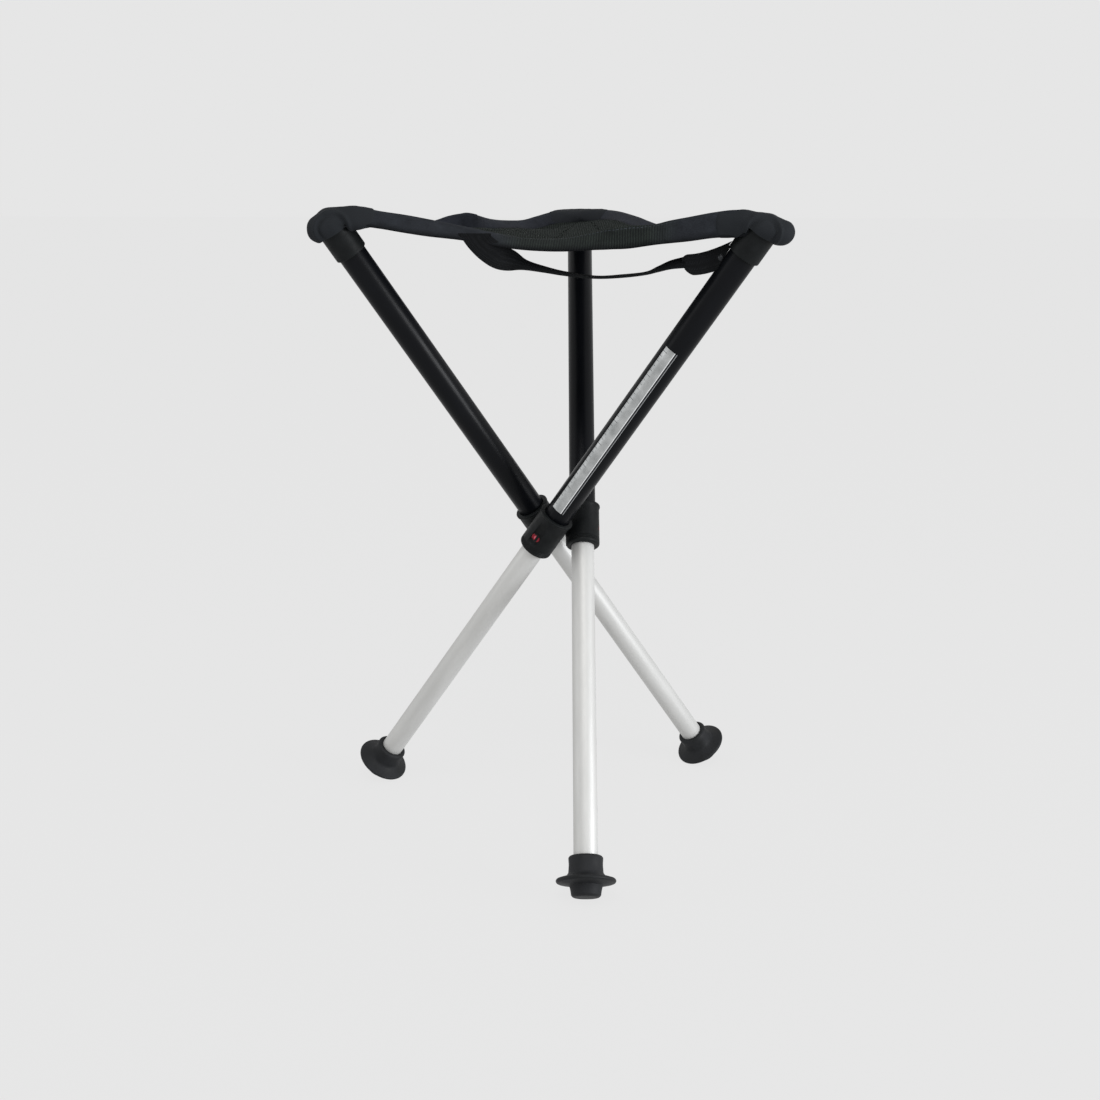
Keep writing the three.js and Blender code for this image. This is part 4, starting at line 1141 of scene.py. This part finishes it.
def seat_gore(leg, number, hems):
    """A narrow triangle of the seat, from the far side to the corner, that gathers at its leg's top."""
    def place(u, v):
        far = far_side(leg, (number + v) / GORES)
        length = (CORNERS[leg] - (cloth_point(far) - HUB)).xy.length
        return cloth_point(mixed(far, all_of(leg), u * (1 - CLOTH_END / length)))

    bm = faced_out(laid(36, 8, place, lambda u, v: (place(u, v) - HUB).xy))
    if sum(face.normal.z for face in bm.faces) < 0:
        bmesh.ops.reverse_faces(bm, faces=bm.faces)
    obj = piece(f"seat_gore_{leg}{number + 1}", bm, SEAT_MESH, sharp=80)
    thick = obj.modifiers.new("thickness", "SOLIDIFY")
    thick.thickness = CLOTH
    thick.offset = 0
    settled(obj)
    corner = cloth_point(all_of(leg))
    along = corner - cloth_point(far_side(leg, (number + 0.5) / GORES))
    along.z = 0
    along.normalize()
    inner = corner - along * GATHER_INSET
    stand_in(obj, f"leg_{leg}", "mesh_cloth", "seat_panel")
    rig.squash(obj, f"fold_{leg}", axis=gathered(along), anchor=inner, keep=0.12)
    sides = [cloth_point(far_side(leg, (number + side) / GORES)) - corner for side in (0, 1)]
    width, area = (sides[1] - sides[0]).length, sides[0].cross(sides[1]).length / 2
    length = sum(side.length for side in sides) / 2 - CLOTH_END
    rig.sheet(
        obj, flat=(width, length), held="stretched", rests_on=[f"pocket_{leg}"], area=area, with_pieces=hems
    )


def band_form(edge, share):
    """A band's middle, and its width and its facing as vectors, where it has the heights in BAND_LINES."""
    low, high = read_rows(BAND_LINES[edge], share)
    width = max(BAND_WIDTH, high - low)
    upright = ((high - low) ** 2 - BAND_THICKNESS**2) / (width**2 - BAND_THICKNESS**2)
    upright = math.sqrt(min(max(upright, 0), 1))
    side = OUTWARDS[edge] * math.sqrt(1 - upright**2) * (-1 if edge == "ab" else 1)
    along = Vector((0, 0, upright)) + side
    facing = Vector((0, 0, side.length if edge == "ab" else -side.length)) + OUTWARDS[edge] * upright
    middle = edge_point(edge, share) + along * width * (0.5 - HEM_SHARES[edge])
    return middle, along * width, facing


def half_band(edge, leg):
    """Half of a bound edge, from its middle to the corner pocket: a doubled hem with plump folds."""
    span = (CORNERS[edge[0]] - CORNERS[edge[1]]).length
    reach = (0.5 - BAND_END / span) * (-1 if leg == edge[0] else 1)

    def share_at(u):
        return 0.5 + reach * u

    def form(u, v):
        middle, width, face = band_form(edge, share_at(u))
        turn = math.tau * v
        spot = (share_at(u) * BAND_RIPPLES, math.cos(turn) / 2, math.sin(turn) / 2 + ord(edge[0]))
        middle += face * noise.noise(Vector(spot)) * BAND_RIPPLE
        return middle, width / 2, face * BAND_THICKNESS / 2

    bm = soft_bar((90, 36), BAND_SECTION, form, lambda u: share_at(u) * span, BAND_WIDTH)
    obj = piece(f"band_{edge}_{leg}", bm, FRONT_BAND if edge == "ab" else REAR_BAND, sharp=70)
    stand_in(obj, f"leg_{leg}", "band_cloth", f"edge_band_{edge}")
    corner = cloth_point(all_of(leg))
    along = (CORNERS[leg] - CORNERS[edge.replace(leg, "")]).normalized()
    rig.squash(obj, f"fold_{leg}", axis=gathered(along), anchor=corner - along * GATHER_INSET, keep=0.12)
    return obj


def hull_of(parts):
    """One bmesh that wraps round several egg shapes, each a centre, three radii and a turn."""
    bm = bmesh.new()
    for centre, radii, turn in parts:
        matrix = Matrix.Translation(centre) @ turn @ Matrix.Diagonal((*radii, 1))
        bmesh.ops.create_uvsphere(bm, u_segments=32, v_segments=20, radius=1, matrix=matrix)
    return wrapped(bm)


def corner_pocket(leg):
    """Cloth folded over the cap, with its end as a toe and a cheek out to each band."""
    radius = CAP_RADIUS + FIT_GAP + POCKET_WALL
    rise = POCKET_CROWNS[leg]
    level = Matrix.Rotation(LEG_AZIMUTHS[leg], 4, "Z")
    dome = leg_point(leg, DOME_CENTRE)
    reach, toe = POCKET_TOES[leg]
    still = Matrix.Identity(4)
    wide = radius * POCKET_CROWN_SHARE
    crown = (dome, (wide, wide, rise), still)
    meshes = [hull_of([crown, (dome + (level @ Vector(reach)), toe, level)])]
    lifted = Vector((0, 0, rise * POCKET_RISE_SHARE))
    slim = radius * POCKET_OVER_SHARE
    over = (dome + lifted, (slim, slim, rise * (1 - POCKET_RISE_SHARE)), still)
    for edge in EDGES:
        if leg not in edge:
            continue
        cheeks = []
        for out in POCKET_CHEEKS:
            share = out / (CORNERS[edge[0]] - CORNERS[edge[1]]).length
            middle, width, face = band_form(edge, share if leg == edge[0] else 1 - share)
            along = width.normalized()
            turn = Matrix((along.cross(face), face, along)).transposed().to_4x4()
            halves = [size / 2 + POCKET_CHEEK_SPARE for size in (BAND_THICKNESS, width.length)]
            cheeks.append((middle, (POCKET_CHEEK_REACH, *halves), turn))
        meshes.append(hull_of([over, *cheeks]))
    obj = piece(f"pocket_{leg}", meshes[0], POCKET_CLOTH)
    for other in meshes[1:]:
        carved(obj, other, "UNION")
    skin = obj.modifiers.new("skin", "REMESH")
    skin.mode = "VOXEL"
    skin.voxel_size = POCKET_GRAIN
    soft = obj.modifiers.new("soft", "SMOOTH")
    soft.iterations = 10
    soft.factor = 0.5
    settled(obj)
    wrinkled(obj, leg)
    open_pocket(obj, leg, radius + POCKET_ROOM, reach[1])


def bump(away):
    """A round bump, 1 high and about 1 wide each way."""
    return math.exp(-(away**2))


def wrinkled(obj, leg):
    """Soft folds in the cloth, and one that bows round the cap on the front side."""
    mesh = obj.data
    offsets = []
    reach, height = POCKET_FOLDS[leg]
    cap = leg_point(leg, DOME_CENTRE - POCKET_MOUTHS[leg])
    for vert in mesh.vertices:
        spot = vert.co / POCKET_WRINKLE + Vector((0, 0, ord(leg)))
        away = (vert.co - cap).xz.length - reach - noise.noise(spot * POCKET_WANDER[0]) * POCKET_WANDER[1]
        fold = bump(away / POCKET_FOLD_WIDTH) - bump((away + POCKET_CREASE_INSET) / POCKET_CREASE_WIDTH)
        fold *= height * max(0, -vert.normal.y) ** 0.7
        soft = sum(noise.noise(spot * times) * deep for times, deep in POCKET_WRINKLES)
        offsets.append(vert.normal * (soft + fold))
    for vert, offset in zip(mesh.vertices, offsets):
        vert.co += offset


def open_pocket(obj, leg, clear, aside):
    """The cap's room, and a mouth that is cut off square to the leg, also under the toe."""
    low, mouth = CAP_RIM - POCKET_CUT_LENGTH, DOME_CENTRE - POCKET_MOUTHS[leg]
    below = swept_rod(clear, low, mouth, (0, aside, 0))
    room = turned([
        (0, low - POCKET_WALL),
        (CAP_RADIUS + FIT_GAP, low - POCKET_WALL),
        *dome_profile(CAP_RADIUS + FIT_GAP, CAP_DOME + FIT_GAP),
    ])
    for cutter in (below, room):
        carved(obj, cutter, place=leg_place(leg))
    layer = obj.data.uv_layers.get("UVMap") or obj.data.uv_layers.new(name="UVMap")
    for loop in obj.data.loops:
        co = obj.data.vertices[loop.vertex_index].co - HUB
        layer.data[loop.index].uv = (co.x + co.y, co.z + BAND_WIDTH)
    obj.data.set_sharp_from_angle(angle=math.radians(60))
    stand_in(obj, f"leg_{leg}", "band_cloth", f"corner_pocket_{leg}")


# Strap and tab

TOP_A, TOP_B = (leg_point(leg, DOME_CENTRE) for leg in "ab")
FRONT_SPAN = (TOP_A - TOP_B).length
STRAP_Z = DOME_TOP - STRAP_DROP


def under_front(reach, height, inset):
    """A place under the front edge: its reach from leg b's top, its height over the hub and its inset."""
    place = TOP_B.lerp(TOP_A, reach / FRONT_SPAN) - OUTWARDS["ab"] * inset
    place.z = HUB.z + height
    return place


def on_curve(points, share):
    """A point of the smooth curve through points."""
    at = share * (len(points) - 1)
    k = min(int(at), len(points) - 2)
    t = at - k
    before, first = points[max(k - 1, 0)], points[k]
    second, after = points[k + 1], points[min(k + 2, len(points) - 1)]
    return 0.5 * (
        2 * first + (second - before) * t + (2 * before - 5 * first + 4 * second - after) * t**2
        + (3 * first - before - 3 * second + after) * t**3
    )


def strap():
    rows = STRAP_ROUTE_SHARES
    way = TAB_LOW_REACH - FRONT_SPAN
    route = [
        under_front(FRONT_SPAN + way * along, DOME_TOP - drop * STRAP_DROP, inset * STRAP_INSET)
        for along, drop, inset, _ in rows
    ]
    turns = [Vector((turn, 0, 0)) for *_, turn in rows]
    length = sum((b - a).length for a, b in zip(route, route[1:]))
    inwards = -OUTWARDS["ab"]
    level = (TOP_B - TOP_A).normalized()

    def form(u, v):
        ahead, behind = on_curve(route, min(u + STRAP_STEP, 1)), on_curve(route, max(u - STRAP_STEP, 0))
        along = (ahead - behind).normalized()
        turn = on_curve(turns, u).x * math.pi / 2
        up = along.cross(inwards).normalized()
        back = up.cross(along)
        width = up * math.cos(turn) + back * math.sin(turn)
        face = along.cross(width)
        width = width.lerp(level * STRAP_SEAM_SHARE, max(0, 1 - u / STRAP_SEAM_END_SHARE) ** 1.5)
        return on_curve(route, u), width * STRAP_WIDTH / 2, face * STRAP_THICKNESS / 2

    bm = soft_bar((120, 32), STRAP_SECTION, form, lambda u: u * length, STRAP_WIDTH)
    obj = piece("under_strap", bm, WEBBING, sharp=60)
    stand_in(obj, "leg_b", "webbing", "strap")
    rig.squash(obj, "fold_b", axis=gathered(level), anchor=route[-1], keep=0.3)


def tab_frame():
    low_z = STRAP_Z + TAB_LOW_RISE
    low = under_front(TAB_LOW_REACH, low_z, STRAP_INSET)
    high = under_front(TAB_HIGH_REACH, low_z + TAB_RISE, STRAP_INSET)
    along = (high - low).normalized()
    inwards = -OUTWARDS["ab"]
    return low, high, along, along.cross(inwards).normalized(), inwards


def strap_tab():
    low, high, along, wide, back = tab_frame()
    length = (high - low).length

    def form(u, v):
        end = min(u / TAB_END_SHARE, 1)
        half = TAB_WIDTH / 2 * (TAB_TIP_SHARE + (1 - TAB_TIP_SHARE) * math.sin(end * math.pi / 2))
        bend = Vector((0, 0, -TAB_BEND * math.sin(math.pi * u**0.75)))
        return low + along * length * u + bend, wide * half, -back * TAB_THICKNESS / 2

    bm = soft_bar((40, 40), TAB_SECTION, form, lambda u: u * length, TAB_WIDTH)
    obj = piece("corner_tab", bm, WEBBING, sharp=60)
    beyond = leg_place("b").inverted().to_3x3() @ (TOP_B - TOP_A).normalized() * TAB_CUT_REACH
    for radius, low_end, high_end in (
        (UPPER_RADIUS, TAB_CUT_START, UPPER_TOP),
        (CAP_RADIUS, CAP_RIM - FIT_GAP, DOME_CENTRE),
    ):
        carved(obj, swept_rod(radius + FIT_GAP, low_end, high_end, beyond), place=leg_place("b"))
    stand_in(obj, "leg_b", "webbing", "strap_tab")


def tab_rivet():
    low, _, along, _, back = tab_frame()
    foot, shaft = leg_point("b", 0), (TOP_B - leg_point("b", 0)).normalized()
    apart = UPPER_RADIUS + RIVET_TO_TUBE + RIVET_CAP_RADIUS
    start = (low - foot) - shaft * (low - foot).dot(shaft)
    step = along - shaft * along.dot(shaft)
    slope = start.dot(step)
    spare = slope**2 - step.length_squared * (start.length_squared - apart**2)
    centre = low + along * (-slope - math.sqrt(max(spare, 0))) / step.length_squared
    seat = TAB_THICKNESS / 2 + FIT_GAP
    cap, pin = RIVET_CAP_RADIUS, RIVET_PIN_RADIUS
    bm = turned([
        (0, -seat - RIVET_CAP), (cap, -seat - RIVET_CAP), (cap, -seat),
        (pin, -seat), (pin, seat), (cap, seat),
        *arc(0, seat + RIVET_CAP - RIVET_CAP_BALL, RIVET_CAP_BALL, 46, 90, 6),
    ], steps=48)
    turn = Vector((0, 0, 1)).rotation_difference(-back).to_matrix().to_4x4()
    centre.z -= TAB_BEND * RIVET_BEND_SHARE
    obj = piece("tab_pin", bm, TAB_STEEL, Matrix.Translation(centre) @ turn)
    stand_in(obj, "leg_b", "rivet_steel", "strap_rivet")


# Studio


def studio():
    bm = bmesh.new()
    bmesh.ops.create_grid(bm, x_segments=2, y_segments=2, size=40)
    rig.stage(piece("floor", bm, studio_floor()))
    world = bpy.data.worlds.new("studio")
    bpy.context.scene.world = world
    world.use_nodes = True
    back = world.node_tree.nodes["Background"]
    back.inputs["Color"].default_value = (1, 1, 1, 1)
    back.inputs["Strength"].default_value = BACKDROP
    soft_light("key", (2, -1, 0.45), 0.85, 37, (0.95, 0.97, 1))
    soft_light("fill", (-2, -0.4, 0.8), 1.0, 5, (0.96, 0.98, 1))
    soft_light("over", (0, -1.1, 1.9), 1.0, 15, (1, 0.99, 0.98))


def soft_light(name, place, size, power, colour):
    data = bpy.data.lights.new(name, "AREA")
    data.size = size
    data.energy = power
    data.color = colour
    light = bpy.data.objects.new(name, data)
    light.location = place
    aim = Vector((0, 0, 0.3)) - Vector(place)
    light.rotation_euler = aim.to_track_quat("-Z", "Y").to_euler()
    bpy.context.scene.collection.objects.link(light)


def camera():
    data = bpy.data.cameras.new("camera")
    data.sensor_width, data.lens = CAMERA_SENSOR, CAMERA_LENS
    data.clip_end = 100
    obj = bpy.data.objects.new("camera", data)
    level = Matrix.Rotation(-CAMERA_YAW, 4, "Z") @ Matrix.Rotation(math.pi / 2 - CAMERA_PITCH, 4, "X")
    obj.matrix_world = Matrix.Translation(CAMERA_PLACE) @ level @ Matrix.Rotation(CAMERA_ROLL, 4, "Z")
    bpy.context.scene.collection.objects.link(obj)
    bpy.context.scene.camera = obj


for leg in LEG_AZIMUTHS:
    tube(leg, "upper")
    tube(leg, "lower")
    joint_collar(leg)
    push_button(leg)
    guide_bush(leg)
    top_cap(leg)
    rubber_foot(leg)
    pivot(leg)
    corner_pocket(leg)
    frame["nodes"][f"catch_spring_{leg}"].data.materials[0] = SPRING_STEEL
hub()
strip_on_tube("b")
bands = {frozenset(edge): {leg: half_band(edge, leg) for leg in edge} for edge in EDGES}
for leg in LEG_AZIMUTHS:
    before, after = [bands[frozenset((leg, other))][leg] for other in LEG_AZIMUTHS if other != leg]
    for number in range(GORES):
        seat_gore(leg, number, {0: [before], GORES - 1: [after]}.get(number, []))
strap()
strap_tab()
tab_rivet()
studio()
camera()
bpy.context.scene.view_settings.view_transform = "Standard"

own_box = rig.bounds()
with open("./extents.json", "w") as report:
    json.dump({"cad": [list(p) for p in cad_box], "scene": [list(p) for p in own_box]}, report)
